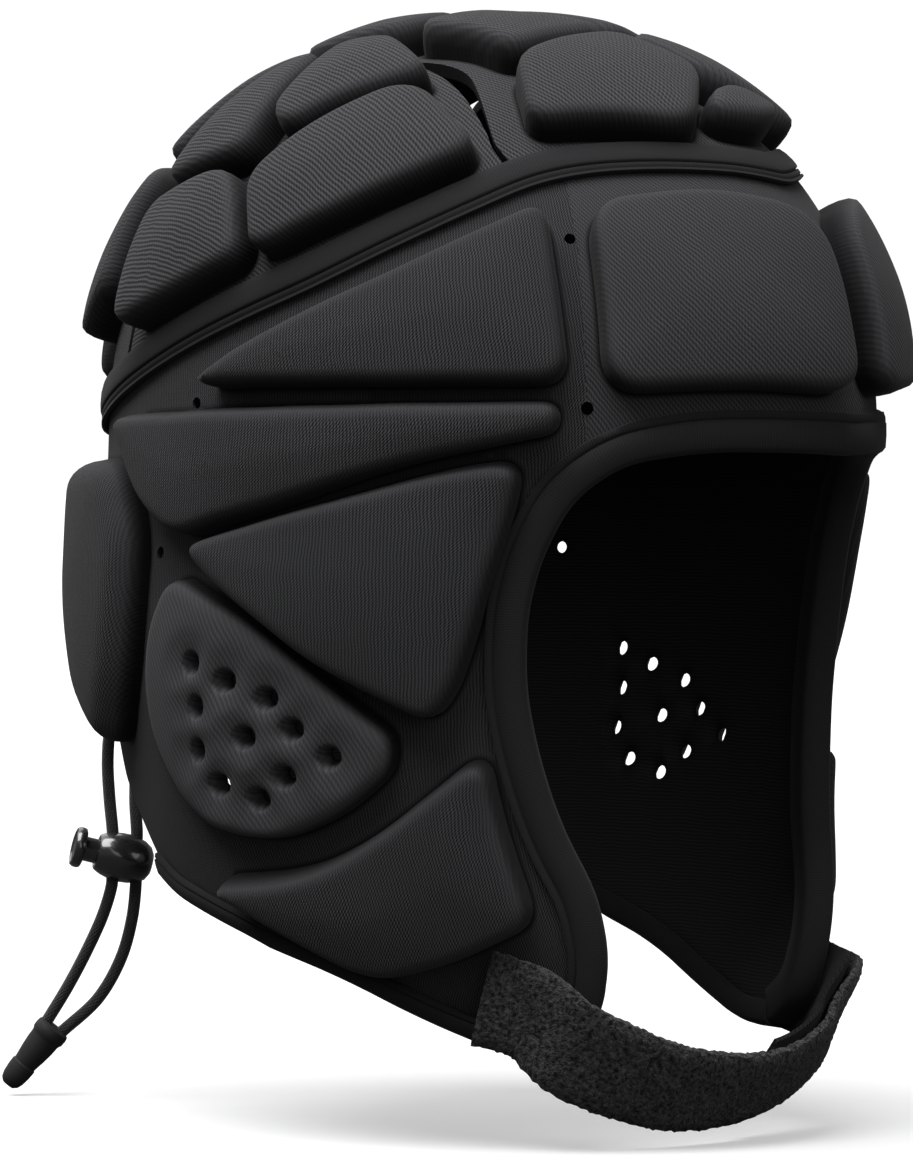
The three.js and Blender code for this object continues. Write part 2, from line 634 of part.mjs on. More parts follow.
// The tape over the seam between crown and band.
function crownBinding() {
  const count = 62;
  const points = Array.from({ length: count }, (_, i) => {
    const turn = 180 - ((i + 0.5) * 360) / count;
    return crownChart.flat(turn, seamLevel(turn));
  });
  const half = TAPE_WIDTH / 2;
  const shoulder = half - TAPE_THICK * 0.3;
  const section = [[-half, EASE], [half, EASE], [shoulder, EASE + TAPE_THICK * 0.7],
    [0, EASE + TAPE_THICK], [-shoulder, EASE + TAPE_THICK * 0.7]];
  return named('crown_binding', sweepOn(crownChart, points, section, true), DARK, 0.7);
}

// A folded binding over an edge: a channel whose slot holds the sheet.
function foldedSection(width) {
  const under = -SHEET - EASE;
  const end = GAP + BINDING_WALL;
  const lip = GAP - width;
  return [[GAP, under], [lip, under], [lip, under - BINDING_WALL], [end * 0.6, under - BINDING_WALL],
    [end, -SHEET], [end, 0], [end * 0.6, EASE + BINDING_WALL], [lip * 0.6, EASE + BINDING_WALL],
    [lip, EASE + BINDING_WALL * 0.6], [lip, EASE], [GAP, EASE]];
}

function faceBinding() {
  const right = faceEdge.slice(0, -1);
  const run = [...flipped(right).slice(0, -1), ...right];
  return named('face_binding', sweepOn(bandChart, run, foldedSection(BINDING_WIDTH), false), DARK, 0.7);
}

function hemBinding(name, hand) {
  const edge = hemEdge.slice(0, -1);
  const run = hand < 0 ? edge : flipped(edge);
  return named(name, sweepOn(bandChart, run, foldedSection(HEM_WIDTH), false), DARK, 0.8);
}

// A layer of the chin strap along part of its route, moved out by a lift.
function strapLayer(from, to, lift, thick) {
  const onFlap = (rise) => ({ turn, level }) => shell(turn, level, rise);
  const seat = BINDING_WALL + 5 * GAP;
  const curve = new THREE.CatmullRomCurve3([
    ...STRAP_RIGHT_END.map(onFlap(seat)),
    ...STRAP_ROUTE.map(({ across, ahead, low }) =>
      new THREE.Vector3(across * HALF_WIDTH, -ahead * HALF_LENGTH, SHEET - DOME - low * DROP)),
    ...STRAP_LEFT_END.map(onFlap(seat + TAB_THICK + 2 * EASE + GAP)),
  ]);
  const count = Math.round((curve.getLength() * (to - from)) / (EDGE_STEP * 0.8));
  const half = STRAP_WIDTH / 2;
  const shoulder = half - thick * 0.3;
  const section = [[-half, 0], [half, 0], [half, thick * 0.6], [shoulder, thick], [-shoulder, thick],
    [-half, thick * 0.6]];
  const rings = Array.from({ length: count + 1 }, (_, i) => {
    const share = THREE.MathUtils.lerp(from, to, i / count);
    const along = curve.getTangentAt(share);
    const roll = THREE.MathUtils.degToRad(between(STRAP_ROLL, 'share', 'roll', share));
    const level = new THREE.Vector3(along.y, -along.x, 0).normalize();
    const out = level.multiplyScalar(Math.cos(roll)).add(new THREE.Vector3(0, 0, -Math.sin(roll)));
    out.addScaledVector(along, -out.dot(along)).normalize();
    const across = out.clone().cross(along).normalize();
    const at = curve.getPointAt(share).addScaledVector(out, lift);
    return section.map(([a, b]) => at.clone().addScaledVector(across, a).addScaledVector(out, b));
  });
  return sweep(rings, section, false);
}

const chinStrap = () => named('chin_strap', strapLayer(0, 1, 0, STRAP_THICK), CHARCOAL, 1);
const chinTab = () =>
  named('chin_strap_tab', strapLayer(TAB_FROM, TAB_TO, -TAB_THICK - EASE - GAP, TAB_THICK), DARK, 0.8);

// A round cord along chosen points.
function cord(name, points) {
  const curve = new THREE.CatmullRomCurve3(points.map((point) => new THREE.Vector3(...point)));
  const section = new THREE.Shape().absarc(0, 0, CORD / 2, 0, Math.PI * 2);
  const geometry = new THREE.ExtrudeGeometry(section, {
    extrudePath: curve, steps: Math.round(curve.getLength() / (CORD * 1.4)), curveSegments: 4,
    bevelEnabled: false,
  });
  return named(name, solid(geometry), DARK, 0.6);
}

// Drops what isn't position and welds a geometry's corners.
function solid(geometry) {
  const bare = geometry.index ? geometry.toNonIndexed() : geometry;
  return welded(Array.from(bare.getAttribute('position').array));
}

// One bar of the lace: through an eyelet, across the split and into the other eyelet.
function laceBar(name, level) {
  const over = CORD / 2 + 0.6;
  const rows = [[EYELET_TURN, -SHEET - 1], [EYELET_TURN, -0.4], [EYELET_TURN * 0.78, over],
    [EYELET_TURN * 0.4, over + 0.8], [0, over + 1]];
  const right = rows.map(([turn, rise]) => shell(turn - 180, level, rise));
  const left = rows.slice(0, -1).reverse().map(([turn, rise]) => shell(180 - turn, level, rise));
  return cord(name, [...right, ...left].map((point) => point.toArray()));
}

// The lace from the lining side of its lowest eyelet to the lock.
function cordLoop(side, hand) {
  const turn = hand * (180 - EYELET_TURN);
  const start = [-SHEET, -SHEET / 2, 0, 2].map((rise) => shell(turn, LOOP_EYELET_LEVEL, rise).toArray());
  return cord(`cord_loop_${side}`, [...start, ...LOOP_ROUTES[side]]);
}

// The cord lock: a barrel bored for its plunger, and the plunger's button.
function lockFrame() {
  const frame = new THREE.Group();
  frame.position.set(...LOCK_AT);
  const turn = THREE.MathUtils.degToRad(LOCK_TURN);
  const tilt = THREE.MathUtils.degToRad(LOCK_TILT);
  const out = new THREE.Vector3(Math.cos(turn), Math.sin(turn), Math.tan(tilt)).normalize();
  frame.quaternion.setFromUnitVectors(new THREE.Vector3(0, 1, 0), out);
  return frame;
}

function lockBody() {
  const half = LOCK_LENGTH / 2;
  const bore = BUTTON_STEM_RADIUS + GAP;
  const floor = half - BUTTON_STEM - BUTTON_TRAVEL - GAP;
  const profile = [[0, -half], [LOCK_RADIUS * 0.45, -half * 0.96], [LOCK_RADIUS * 0.82, -half * 0.66],
    [LOCK_RADIUS, -half * 0.1], [LOCK_RADIUS * 0.96, half * 0.4], [LOCK_RADIUS * 0.8, half * 0.8],
    [LOCK_RADIUS * 0.7, half], [bore, half], [bore, floor], [0, floor]];
  const geometry = new THREE.LatheGeometry(profile.map(([r, y]) => new THREE.Vector2(r, y)), 16);
  return named('cord_lock_body', solid(geometry), DARK, 0.25);
}

function lockButton() {
  const face = LOCK_LENGTH / 2 + BUTTON_TRAVEL + GAP;
  const foot = LOCK_LENGTH / 2 - BUTTON_STEM;
  const profile = [[0, foot], [BUTTON_STEM_RADIUS, foot], [BUTTON_STEM_RADIUS, face],
    [BUTTON_RADIUS * 0.88, face], [BUTTON_RADIUS, face + BUTTON_HEAD * 0.3],
    [BUTTON_RADIUS * 0.92, face + BUTTON_HEAD * 0.75], [BUTTON_RADIUS * 0.6, face + BUTTON_HEAD],
    [0, face + BUTTON_HEAD]];
  const geometry = new THREE.LatheGeometry(profile.map(([r, y]) => new THREE.Vector2(r, y)), 16);
  return named('cord_lock_button', solid(geometry), DARK, 0.25);
}

// The moulded end that both tails run into, pointing on along the mean of their last steps.
function cordEnd() {
  const step = (route) => {
    const [before, last] = route.slice(-2).map((point) => new THREE.Vector3(...point));
    return last.sub(before).normalize();
  };
  const tips = Object.values(TAIL_ROUTES).map((route) => new THREE.Vector3(...route.at(-1)));
  const along = step(TAIL_ROUTES.right).add(step(TAIL_ROUTES.left)).normalize();
  const profile = [[0, 0], [CORD_END_RADIUS * 0.9, 0], [CORD_END_RADIUS, 2],
    [CORD_END_RADIUS * 0.9, CORD_END_LENGTH * 0.6], [CORD_END_RADIUS * 0.68, CORD_END_LENGTH * 0.9],
    [CORD_END_RADIUS * 0.4, CORD_END_LENGTH], [0, CORD_END_LENGTH]];
  const geometry = new THREE.LatheGeometry(profile.map(([r, y]) => new THREE.Vector2(r, y)), 12);
  const mesh = named('cord_end', solid(geometry), DARK, 0.8);
  mesh.quaternion.setFromUnitVectors(new THREE.Vector3(0, 1, 0), along);
  mesh.position.copy(tips[0].add(tips[1]).multiplyScalar(0.5)).addScaledVector(along, CORD / 2 + GAP);
  return mesh;
}

const cap = new THREE.Group();
cap.add(paddedBand(), crownCentre(), crownSide('crown_side_right', -1), crownSide('crown_side_left', 1));
cap.add(crownBinding(), faceBinding());
cap.add(hemBinding('hem_binding_right', -1), hemBinding('hem_binding_left', 1));
cap.add(chinStrap(), chinTab());
EYELET_LEVELS.forEach((level, i) => cap.add(laceBar(`lace_bar_${i + 1}`, level)));
cap.add(cordLoop('right', -1), cordLoop('left', 1));
Object.entries(TAIL_ROUTES).forEach(([side, points]) => cap.add(cord(`cord_tail_${side}`, points)));
const lock = lockFrame();
lock.add(lockBody(), lockButton());
cap.add(lock, cordEnd());

export default cap;
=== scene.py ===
"""A rugby scrum cap: moulded foam under ribbed cloth, edge bindings, a chin strap, a laced back and
a cord lock. Lengths are in millimetres up to the moment when a mesh is made, which is in metres."""
import math
import bmesh
import bpy
import numpy as np
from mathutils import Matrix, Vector
from mathutils.geometry import delaunay_2d_cdt


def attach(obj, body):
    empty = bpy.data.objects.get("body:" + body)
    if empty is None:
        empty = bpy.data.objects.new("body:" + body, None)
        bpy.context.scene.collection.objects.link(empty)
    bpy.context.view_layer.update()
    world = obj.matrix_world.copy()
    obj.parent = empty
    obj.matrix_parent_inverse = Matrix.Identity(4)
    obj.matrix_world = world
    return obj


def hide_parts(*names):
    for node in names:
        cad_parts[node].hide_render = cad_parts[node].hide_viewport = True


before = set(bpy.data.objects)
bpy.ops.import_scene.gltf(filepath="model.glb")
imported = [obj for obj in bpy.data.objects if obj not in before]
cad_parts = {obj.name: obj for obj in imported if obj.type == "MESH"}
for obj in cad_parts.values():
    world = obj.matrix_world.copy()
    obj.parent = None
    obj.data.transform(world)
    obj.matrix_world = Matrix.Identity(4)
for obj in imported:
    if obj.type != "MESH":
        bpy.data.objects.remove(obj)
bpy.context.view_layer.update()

# The photographer's place: 1.5 m from the cap, level with its ears, 50 degrees round to the
# wearer's right, with a long lens.
camera_data = bpy.data.cameras.new("camera")
camera_data.lens = 195.7
camera_data.sensor_width = 36
camera_data.clip_end = 50
camera = bpy.data.objects.new("camera", camera_data)
bpy.context.scene.collection.objects.link(camera)
bpy.context.scene.camera = camera
look_at = Vector((-0.0043, 0.0051, -0.123))
turn, tilt = math.radians(-50), math.radians(1)
towards_camera = Vector((math.sin(turn) * math.cos(tilt), -math.cos(turn) * math.cos(tilt), math.sin(tilt)))
camera.location = look_at + towards_camera * 1.5
camera.rotation_euler = (-towards_camera).to_track_quat("-Z", "Y").to_euler()

# The round lace: a braided elastic cord 3 mm thick. Its two runs leave the lowest eyelets
# behind the neck, pass through the cord lock and hang on to one moulded end.
CORD, CORD_STEP = 3.0, 0.7


def smooth_run(points, step):
    """A curve through points, in even steps, that doesn't overshoot where they lie close."""
    p = np.array(points, float)
    p = np.vstack([2 * p[0] - p[1], p, 2 * p[-1] - p[-2]])
    fine = []
    for i in range(1, len(p) - 2):
        before, here, then, after = p[i - 1:i + 3]
        d0, d1, d2 = (max(np.linalg.norm(b - a), 1e-6) ** 0.5 for a, b in
                      ((before, here), (here, then), (then, after)))
        t1 = ((here - before) / d0 - (then - before) / (d0 + d1) + (then - here) / d1) * d1
        t2 = ((then - here) / d1 - (after - here) / (d1 + d2) + (after - then) / d2) * d1
        s = np.linspace(0, 1, 60, endpoint=i == len(p) - 3)[:, None]
        fine.append(here + t1 * s + (-3 * here + 3 * then - 2 * t1 - t2) * s ** 2
                    + (2 * here - 2 * then + t1 + t2) * s ** 3)
    return even_steps(np.vstack(fine), step)


def run_so_far(points):
    """How far each point lies along a run."""
    return np.concatenate([[0], np.cumsum(np.linalg.norm(np.diff(points, axis=0), axis=1))])


def unit(rows):
    return rows / np.linalg.norm(rows, axis=-1)[..., None]


def even_steps(points, step):
    lengths = run_so_far(points)
    at = np.linspace(0, lengths[-1], max(2, int(round(lengths[-1] / step)) + 1))
    return np.stack([np.interp(at, lengths, points[:, k]) for k in range(points.shape[1])], axis=1)


def new_piece(name, points, faces, flat=None, body="cap", crease=50):
    """A mesh from millimetres, smooth but for edges sharper than the crease. Flat is each corner's
    place on the cut pattern, for cloth that runs with it, in decimetres."""
    mesh = bpy.data.meshes.new(name)
    mesh.from_pydata((np.asarray(points) * 0.001).tolist(), [], [list(map(int, f)) for f in faces])
    mesh.validate()
    mesh.shade_smooth()
    mesh.set_sharp_from_angle(angle=math.radians(crease))
    if flat is not None:
        layer = mesh.uv_layers.new(name="pattern")
        corners = np.empty(len(mesh.loops), dtype=np.int32)
        mesh.loops.foreach_get("vertex_index", corners)
        layer.data.foreach_set("uv", (np.asarray(flat)[corners] * 0.01).astype(np.float32).ravel())
    piece = bpy.data.objects.new(name, mesh)
    bpy.context.scene.collection.objects.link(piece)
    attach(piece, body)
    return piece


def side_steps(points):
    """The direction along a run at each point, and two across it that don't twist."""
    along = unit(np.gradient(points, axis=0))
    across = [unit(np.cross(along[0], [0.3, 0.2, 1.0]))]
    for a in along[1:]:
        across.append(unit(across[-1] - a * np.dot(across[-1], a)))
    across = np.array(across)
    return along, across, np.cross(along, across)


def pattern_places(run, girth):
    """Where the corners of a swept piece lie on its flat pattern: along it and round it."""
    return np.stack(np.broadcast_arrays(run[:, None], girth[None]), axis=2).reshape(-1, 2)


def lace_run(name, points, node, sides=20):
    path = smooth_run(points, CORD_STEP)
    along, across, up = side_steps(path)
    angle = np.linspace(0, 2 * np.pi, sides + 1)
    ring = across[:, None] * np.cos(angle)[None, :, None] + up[:, None] * np.sin(angle)[None, :, None]
    corners = path[:, None] + ring * CORD / 2
    count = len(path)
    flat = pattern_places(np.arange(count) * CORD_STEP, angle * CORD / 2)
    faces = [(i * (sides + 1) + j, i * (sides + 1) + j + 1, (i + 1) * (sides + 1) + j + 1,
              (i + 1) * (sides + 1) + j) for i in range(count - 1) for j in range(sides)]
    faces += [tuple(range(sides, -1, -1)), tuple((count - 1) * (sides + 1) + j for j in range(sides + 1))]
    piece = new_piece(name, corners.reshape(-1, 3), faces, flat)
    weld(piece)
    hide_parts(node)
    return piece, path


def weld(piece, reach=2e-6):
    mesh = bmesh.new()
    mesh.from_mesh(piece.data)
    bmesh.ops.remove_doubles(mesh, verts=mesh.verts, dist=reach)
    bmesh.ops.recalc_face_normals(mesh, faces=mesh.faces)
    mesh.to_mesh(piece.data)
    mesh.free()


LOOPS = {
    "right": [(-13.6, 87.1, -142.9), (-13.8, 88.5, -143.3), (-14.0, 89.9, -143.8), (-14.3, 91.8, -144.3),
              (-14.6, 98.5, -147), (-12.6, 105.5, -152), (-11, 110.2, -159), (-10.4, 111.6, -167),
              (-10.6, 110.8, -176), (-11, 109.4, -184.2), (-11.1, 109.35, -186.8)],
    "left": [(13.6, 87.1, -142.9), (13.8, 88.5, -143.3), (14.0, 89.9, -143.8), (14.3, 91.8, -144.3),
             (12.6, 98.5, -147), (7.4, 104, -151), (2, 107.4, -157.5), (-3.2, 108.1, -166),
             (-5.6, 106.9, -175.5), (-6.6, 105.4, -184.2), (-6.7, 105.4, -186.8)],
}
TAILS = {
    "right": [(-11.4, 109.2, -194.4), (-11.5, 109.2, -196.8), (-12.6, 111, -204), (-14.6, 114.6, -213),
              (-17, 118.8, -222), (-20, 123.4, -231), (-21.2, 125.6, -235.4)],
    "left": [(-6.95, 105.4, -194.4), (-7, 105.4, -196.8), (-7.2, 106.4, -205), (-8.4, 109, -215),
             (-11.5, 113.8, -225), (-16.6, 120.2, -232.6), (-19, 123.7, -236.2)],
}


cords = {}
for side, points in LOOPS.items():
    cords["loop_" + side] = lace_run("lace_loop_" + side, points, "cord_loop_" + side)
for side, points in TAILS.items():
    cords["tail_" + side] = lace_run("lace_tail_" + side, points, "cord_tail_" + side)

# The cap's form: every panel lies on one head-shaped surface. A place on it is a turn from
# the face, negative to the wearer's right, and a level: 0 the top, 1 widest, 2 below the flaps.
HALF_WIDTH, HALF_LENGTH, DOME, DROP = 77.0, 96.0, 89.0, 150.0
PROW, PROW_SPAN, FULLNESS, SHEET = 10.0, 38.0, 2.1, 3.0
ARC, RUN = 1.5, 145.0
# Below the widest level: drop, width, front, back, middle, squareness
WIDE, FRONT, BACK, MIDDLE, SQUARE = range(1, 6)
SECTIONS = np.array([
    (0.0, 1.0, 1.0, 1.0, 0.04, 1.0), (0.15, 1.0, 0.99, 1.0, 0.085, 1.0),
    (0.3, 1.0, 0.96, 0.98, 0.125, 0.95), (0.45, 0.975, 0.915, 0.915, 0.165, 0.88),
    (0.6, 0.92, 0.89, 0.835, 0.19, 0.8), (0.75, 0.83, 0.895, 0.75, 0.145, 0.75),
    (0.9, 0.7, 0.9, 0.665, 0.04, 0.75), (1.0, 0.62, 0.9, 0.605, -0.04, 0.75)])


def between(rows, column, at):
    """Smooth values between a table's rows."""
    keys, values = rows[:, 0], rows[:, column]
    slopes = np.empty(len(keys))
    slopes[1:-1] = (values[2:] - values[:-2]) / (keys[2:] - keys[:-2])
    slopes[0] = (values[1] - values[0]) / (keys[1] - keys[0])
    slopes[-1] = (values[-1] - values[-2]) / (keys[-1] - keys[-2])
    x = np.clip(at, keys[0], keys[-1])
    i = np.clip(np.searchsorted(keys, x, side="left") - 1, 0, len(keys) - 2)
    span = keys[i + 1] - keys[i]
    s = (x - keys[i]) / span
    rise = values[i + 1] - values[i]
    start, end = slopes[i] * span, slopes[i + 1] * span
    return values[i] + s * (start + s * (3 * rise - 2 * start - end + s * (start + end - 2 * rise)))


def face(turn, level):
    """Points of the sheet's outer face."""
    turn, level = np.broadcast_arrays(np.asarray(turn, float), np.asarray(level, float))
    angle = np.radians(turn)
    up = np.clip(level, 1e-4, 1) * np.pi / 2
    reach = np.sin(up) ** (2 / FULLNESS)
    drop = np.clip(level - 1, 0, 1)
    side, ahead = np.sin(angle), np.cos(angle)
    x = np.sign(side) * np.abs(side) ** between(SECTIONS, SQUARE, drop)
    x = x * between(SECTIONS, WIDE, drop) * HALF_WIDTH
    middle = between(SECTIONS, MIDDLE, drop) * HALF_LENGTH
    end = np.where(ahead > 0, -between(SECTIONS, FRONT, drop), between(SECTIONS, BACK, drop)) * HALF_LENGTH
    y = middle + (end - middle) * np.abs(ahead)
    off = np.abs((turn + 540) % 360 - 180)
    bump = np.where(off < PROW_SPAN, np.cos(np.clip(off / PROW_SPAN, 0, 1) * np.pi / 2) ** 2, 0)
    prow = PROW * bump * np.minimum(np.maximum(level, 0) / 0.55, 1) ** 1.2
    height = np.where(level < 1, DOME * np.maximum(np.cos(up), 0) ** (2 / FULLNESS), -drop * DROP)
    return np.stack([reach * x, reach * y - prow, SHEET - DOME + height], axis=-1)


def shell(turn, level, rise):
    """The same points moved out along the surface's normal."""
    turn, level, rise = np.broadcast_arrays(*(np.asarray(v, float) for v in (turn, level, rise)))
    away = np.maximum(level, 0.02)
    down = face(turn, away + 0.004) - face(turn, away - 0.004)
    along = face(turn + 0.4, away) - face(turn - 0.4, away)
    return face(turn, level) + unit(np.cross(down, along)) * rise[..., None]


def band_flat(turn, level):
    turn, level = np.asarray(turn, float), np.asarray(level, float)
    return np.stack(np.broadcast_arrays(turn * ARC, -level * RUN), axis=-1)


def band_lift(p, rise):
    return shell(p[:, 0] / ARC, -p[:, 1] / RUN, rise)


def crown_flat(turn, level):
    angle = np.radians(turn)
    return np.stack([np.sin(angle), -np.cos(angle)], axis=-1) * (np.asarray(level) * RUN)[..., None]


def crown_lift(p, rise):
    return shell(np.degrees(np.arctan2(p[:, 0], -p[:, 1])), np.hypot(p[:, 0], p[:, 1]) / RUN, rise)


# The seam between crown and band: its level at each turn.
SEAM = np.array([(0, 0.56), (12, 0.543), (25, 0.537), (38, 0.547), (48, 0.572), (58, 0.62), (70, 0.685),
                 (84, 0.762), (100, 0.83), (120, 0.905), (138, 0.955), (160, 0.985), (180, 0.995)])


def seam_level(turn):
    return between(SEAM, 1, np.abs(turn))


def seam_run(flat, start, end, aside):
    turns = np.linspace(start, end, max(3, int(abs(end - start) * ARC / 2)))
    return [(*p, 0) for p in flat(turns, seam_level(turns) + aside / RUN)]


def band_corners(rows):
    return [(turn * ARC, -level * RUN, soft) for turn, level, soft in rows]


def crown_corners(rows, sharper=1.0):
    return [(across * RUN, back * RUN, soft * sharper) for across, back, soft in rows]


def mirrored(corners):
    return [(-x, y, soft) for x, y, soft in corners][::-1]


def corner_path(corners, closed, step):
    """A line through corners, each cut by a soft arc, in even steps."""
    p = np.array([c[:2] for c in corners])
    count = len(p)
    points = []
    for i, (_, _, soft) in enumerate(corners):
        before, here, after = p[i - 1], p[i], p[(i + 1) % count]
        if not closed and i in (0, count - 1):
            points.append(here[None])
            continue
        d1, d2 = np.linalg.norm(here - before), np.linalg.norm(after - here)
        reach = min(soft, 0.45 * d1, 0.45 * d2)
        if reach < 1e-6:
            points.append(here[None])
            continue
        enter, leave = here + (before - here) * reach / d1, here + (after - here) * reach / d2
        s = np.linspace(0, 1, 24)[:, None]
        points.append(enter * (1 - s) ** 2 + here * 2 * s * (1 - s) + leave * s ** 2)
    points = np.vstack(points)
    if not closed:
        return even_steps(points, step)
    ring = even_steps(np.vstack([points, points[:1]]), step)[:-1]
    area = np.sum(ring[:, 0] * np.roll(ring[:, 1], -1) - ring[:, 1] * np.roll(ring[:, 0], -1))
    return ring if area > 0 else ring[::-1]


def inside(points, ring):
    hit = np.zeros(len(points), bool)
    a, b = ring, np.roll(ring, -1, axis=0)
    for (ax, ay), (bx, by) in zip(a, b):
        if ay == by:
            continue
        crossing = (ay > points[:, 1]) != (by > points[:, 1])
        hit ^= crossing & (points[:, 0] < (bx - ax) * (points[:, 1] - ay) / (by - ay) + ax)
    return hit


def distance(points, ring, closed=True):
    best = np.full(len(points), np.inf)
    ends = np.roll(ring, -1, axis=0) if closed else ring[1:]
    for a, b in zip(ring, ends):
        side = b - a
        s = np.clip(((points - a) @ side) / max(side @ side, 1e-12), 0, 1)
        best = np.minimum(best, np.hypot(*(points - a - s[:, None] * side).T))
    return best


# The padded band: one moulded sheet of foam between two knits round forehead, temples, ears,
# cheeks and nape. Its raised pads are pressed up in a hot mould, with steep walls and soft tops.
PAD_RISE, EAR_RISE = 9.0, 5.6
VENT_FLOOR, VENT_SKIN, VENT_FLARE, SINK_REACH = 0.1, 0.7, 2.1, 6.5
EAR_HOLE, CHANNEL_HOLE, EYELET_HOLE = 1.65, 1.4, 2.4
# A vent's dimple: its reach, how far the foam sinks about it, and how steeply its slope starts
RIGHT_DIMPLE, LEFT_DIMPLE = (3.6, 1.2, 2.6), (4.5, 2.4, 1.1)
CHANNEL_DIMPLE, NO_DIMPLE = (2.6, 0, 2.6), (0, 0, 1)
# Steps of the mesh's grid and edges, and how far inside a pad's foot the lines along it run
FINE, EDGE_STEP, FAR_OUTSIDE = 1.55, 1.5, -20.0
FOLLOWERS = (-0.8, 0.0, 0.12, 0.45, 1.1, 2.0, 3.2, 4.5)
# A panel's cloths, in the order of its materials
DIAGONAL, CUT, UPRIGHT, EAR, TOP, PETAL = range(6)

FACE_EDGE = [(0, 1.03, 0), (-12.5, 1.025, 30), (-25, 1.025, 30), (-36, 1.045, 30), (-43.5, 1.1, 30),
             (-47.3, 1.19, 30), (-48.2, 1.28, 40), (-47, 1.38, 40), (-44.2, 1.48, 40), (-39.8, 1.6, 40),
             (-35.5, 1.7, 40), (-35.5, 1.79, 25), (-40, 1.88, 18)]
HEM_EDGE = [(-49, 1.925, 20), (-59, 1.925, 25), (-70, 1.88, 30), (-80, 1.82, 30), (-93, 1.765, 30),
            (-104, 1.735, 30), (-114, 1.71, 12)]
NAPE_EDGE = [(-121, 1.675, 10), (-126, 1.6, 25), (-134, 1.535, 30), (-144, 1.52, 30), (-158, 1.565, 30),
             (-174, 1.61, 12)]
SPLIT_TOP = 178.8

BAND_PADS = {
    "forehead": [(-38.8, 0.66, 9), (-21, 0.63, 40), (-3, 0.67, 12), (-2.4, 0.955, 8), (-20, 0.942, 40),
                 (-38.5, 0.955, 9)],
    "temple_upper": [(-99, 0.94, 5), (-89, 0.878, 25), (-70, 0.782, 25), (-55, 0.702, 25),
                     (-45.6, 0.656, 6), (-43.8, 0.94, 6)],
    "temple_middle": [(-118, 0.984, 5), (-79, 0.972, 60), (-45, 0.968, 6), (-45, 1.008, 6),
                      (-65, 1.05, 30), (-82, 1.114, 30), (-98, 1.166, 5), (-107, 1.12, 14)],
    "temple_lower": [(-97, 1.18, 6), (-77, 1.118, 30), (-61, 1.068, 30), (-49.4, 1.048, 6),
                     (-55, 1.39, 14), (-57.5, 1.435, 7), (-72, 1.365, 30), (-90, 1.235, 14)],
    "ear": [(-101, 1.222, 9), (-105.5, 1.3, 30), (-106.5, 1.385, 30), (-104.5, 1.47, 30),
            (-97.5, 1.56, 30), (-88, 1.612, 30), (-79, 1.617, 30), (-70, 1.577, 25), (-63, 1.51, 14),
            (-63, 1.458, 10), (-75, 1.368, 40), (-86, 1.283, 40)],
    "cheek": [(-50, 1.48, 6), (-46.5, 1.62, 40), (-44.5, 1.735, 6), (-60.5, 1.795, 25), (-72, 1.82, 10),
              (-94, 1.685, 6), (-77.5, 1.67, 60), (-65, 1.61, 25)],
    "nape": [(-118, 1.045, 9), (-145, 1.055, 40), (-168, 1.06, 9), (-167, 1.36, 9), (-150, 1.39, 40),
             (-134, 1.43, 14), (-120, 1.5, 9), (-113, 1.38, 30), (-111, 1.27, 30), (-111, 1.17, 14)],
}
EAR_VENTS = [(-94, 1.355), (-87.5, 1.38), (-81, 1.405), (-92.5, 1.42), (-77, 1.45), (-84, 1.463),
             (-92, 1.485), (-71.5, 1.49), (-88, 1.535), (-78, 1.52), (-82, 1.555)]
CHANNEL_VENTS = [(-42, 0.7), (-41, 0.975), (-102, 0.965), (-108, 1.19)]
EYELETS = [(171, level) for level in (1.08, 1.19, 1.3, 1.385)]


def soft_ring(corners, step=1.1, passes=3):
    """A pad's foot line, with its corners eased a little more, as foam comes from a mould."""
    ring = corner_path(corners, True, step)
    for _ in range(passes):
        ring = 0.25 * np.roll(ring, 1, axis=0) + 0.5 * ring + 0.25 * np.roll(ring, -1, axis=0)
    return ring + inwards(ring) * 0.25 * ripple(ring, 22, 7)[:, None]


def inwards(ring):
    ahead = unit(np.roll(ring, -1, axis=0) - np.roll(ring, 1, axis=0))
    return np.stack([-ahead[:, 1], ahead[:, 0]], axis=1)


def ripple(points, size, seed):
    """A slow, even-handed waviness between -1 and 1."""
    rng = np.random.default_rng(seed)
    total = np.zeros(len(points))
    for _ in range(6):
        way, phase = rng.uniform(0, 2 * np.pi, 2)
        scale = size * rng.uniform(0.7, 1.5)
        total += np.sin((points[:, 0] * np.cos(way) + points[:, 1] * np.sin(way)) * 2 * np.pi / scale + phase)
    return total / 6


def pad_heights(points, pads, rises, bulge, grown):
    """How far the foam stands above the flange, and how deep each point lies inside a pad."""
    height = 0.15 * ripple(points, 26, 3)
    depth = np.full(len(points), FAR_OUTSIDE)
    for ring, (full, wall_width) in zip(pads, rises):
        low, high = ring.min(axis=0) - 8, ring.max(axis=0) + 8
        near = np.flatnonzero(np.all((points > low) & (points < high), axis=1))
        if not len(near):
            continue
        p = points[near]
        d = distance(p, ring)
        d = np.where(inside(p, ring), d, -d) + grown
        depth[near] = np.maximum(depth[near], d)
        t = np.clip(d / wall_width, 0, 1)
        wall = (1 - (1 - t) ** 2.8) ** (1 / 2.1)
        crown = bulge * (1 - np.exp(-np.clip(d - 2, 0, None) / 12))
        swell = 1 + 0.05 * ripple(p, 30, 11)
        height[near] = np.maximum(height[near], (full + crown) * wall * swell)
    return height, depth


def contour_points(pads, rises, shape):
    """Points on lines that follow each pad's foot, closest where its wall is steepest."""
    kept = []
    for reach in FOLLOWERS:
        points = np.vstack([ring + inwards(ring) * (reach - shape[-1]) for ring in pads])
        _, depth = pad_heights(points, pads, rises, *shape)
        kept.append(points[np.abs(depth - reach) < 0.09])
    return np.vstack(kept)


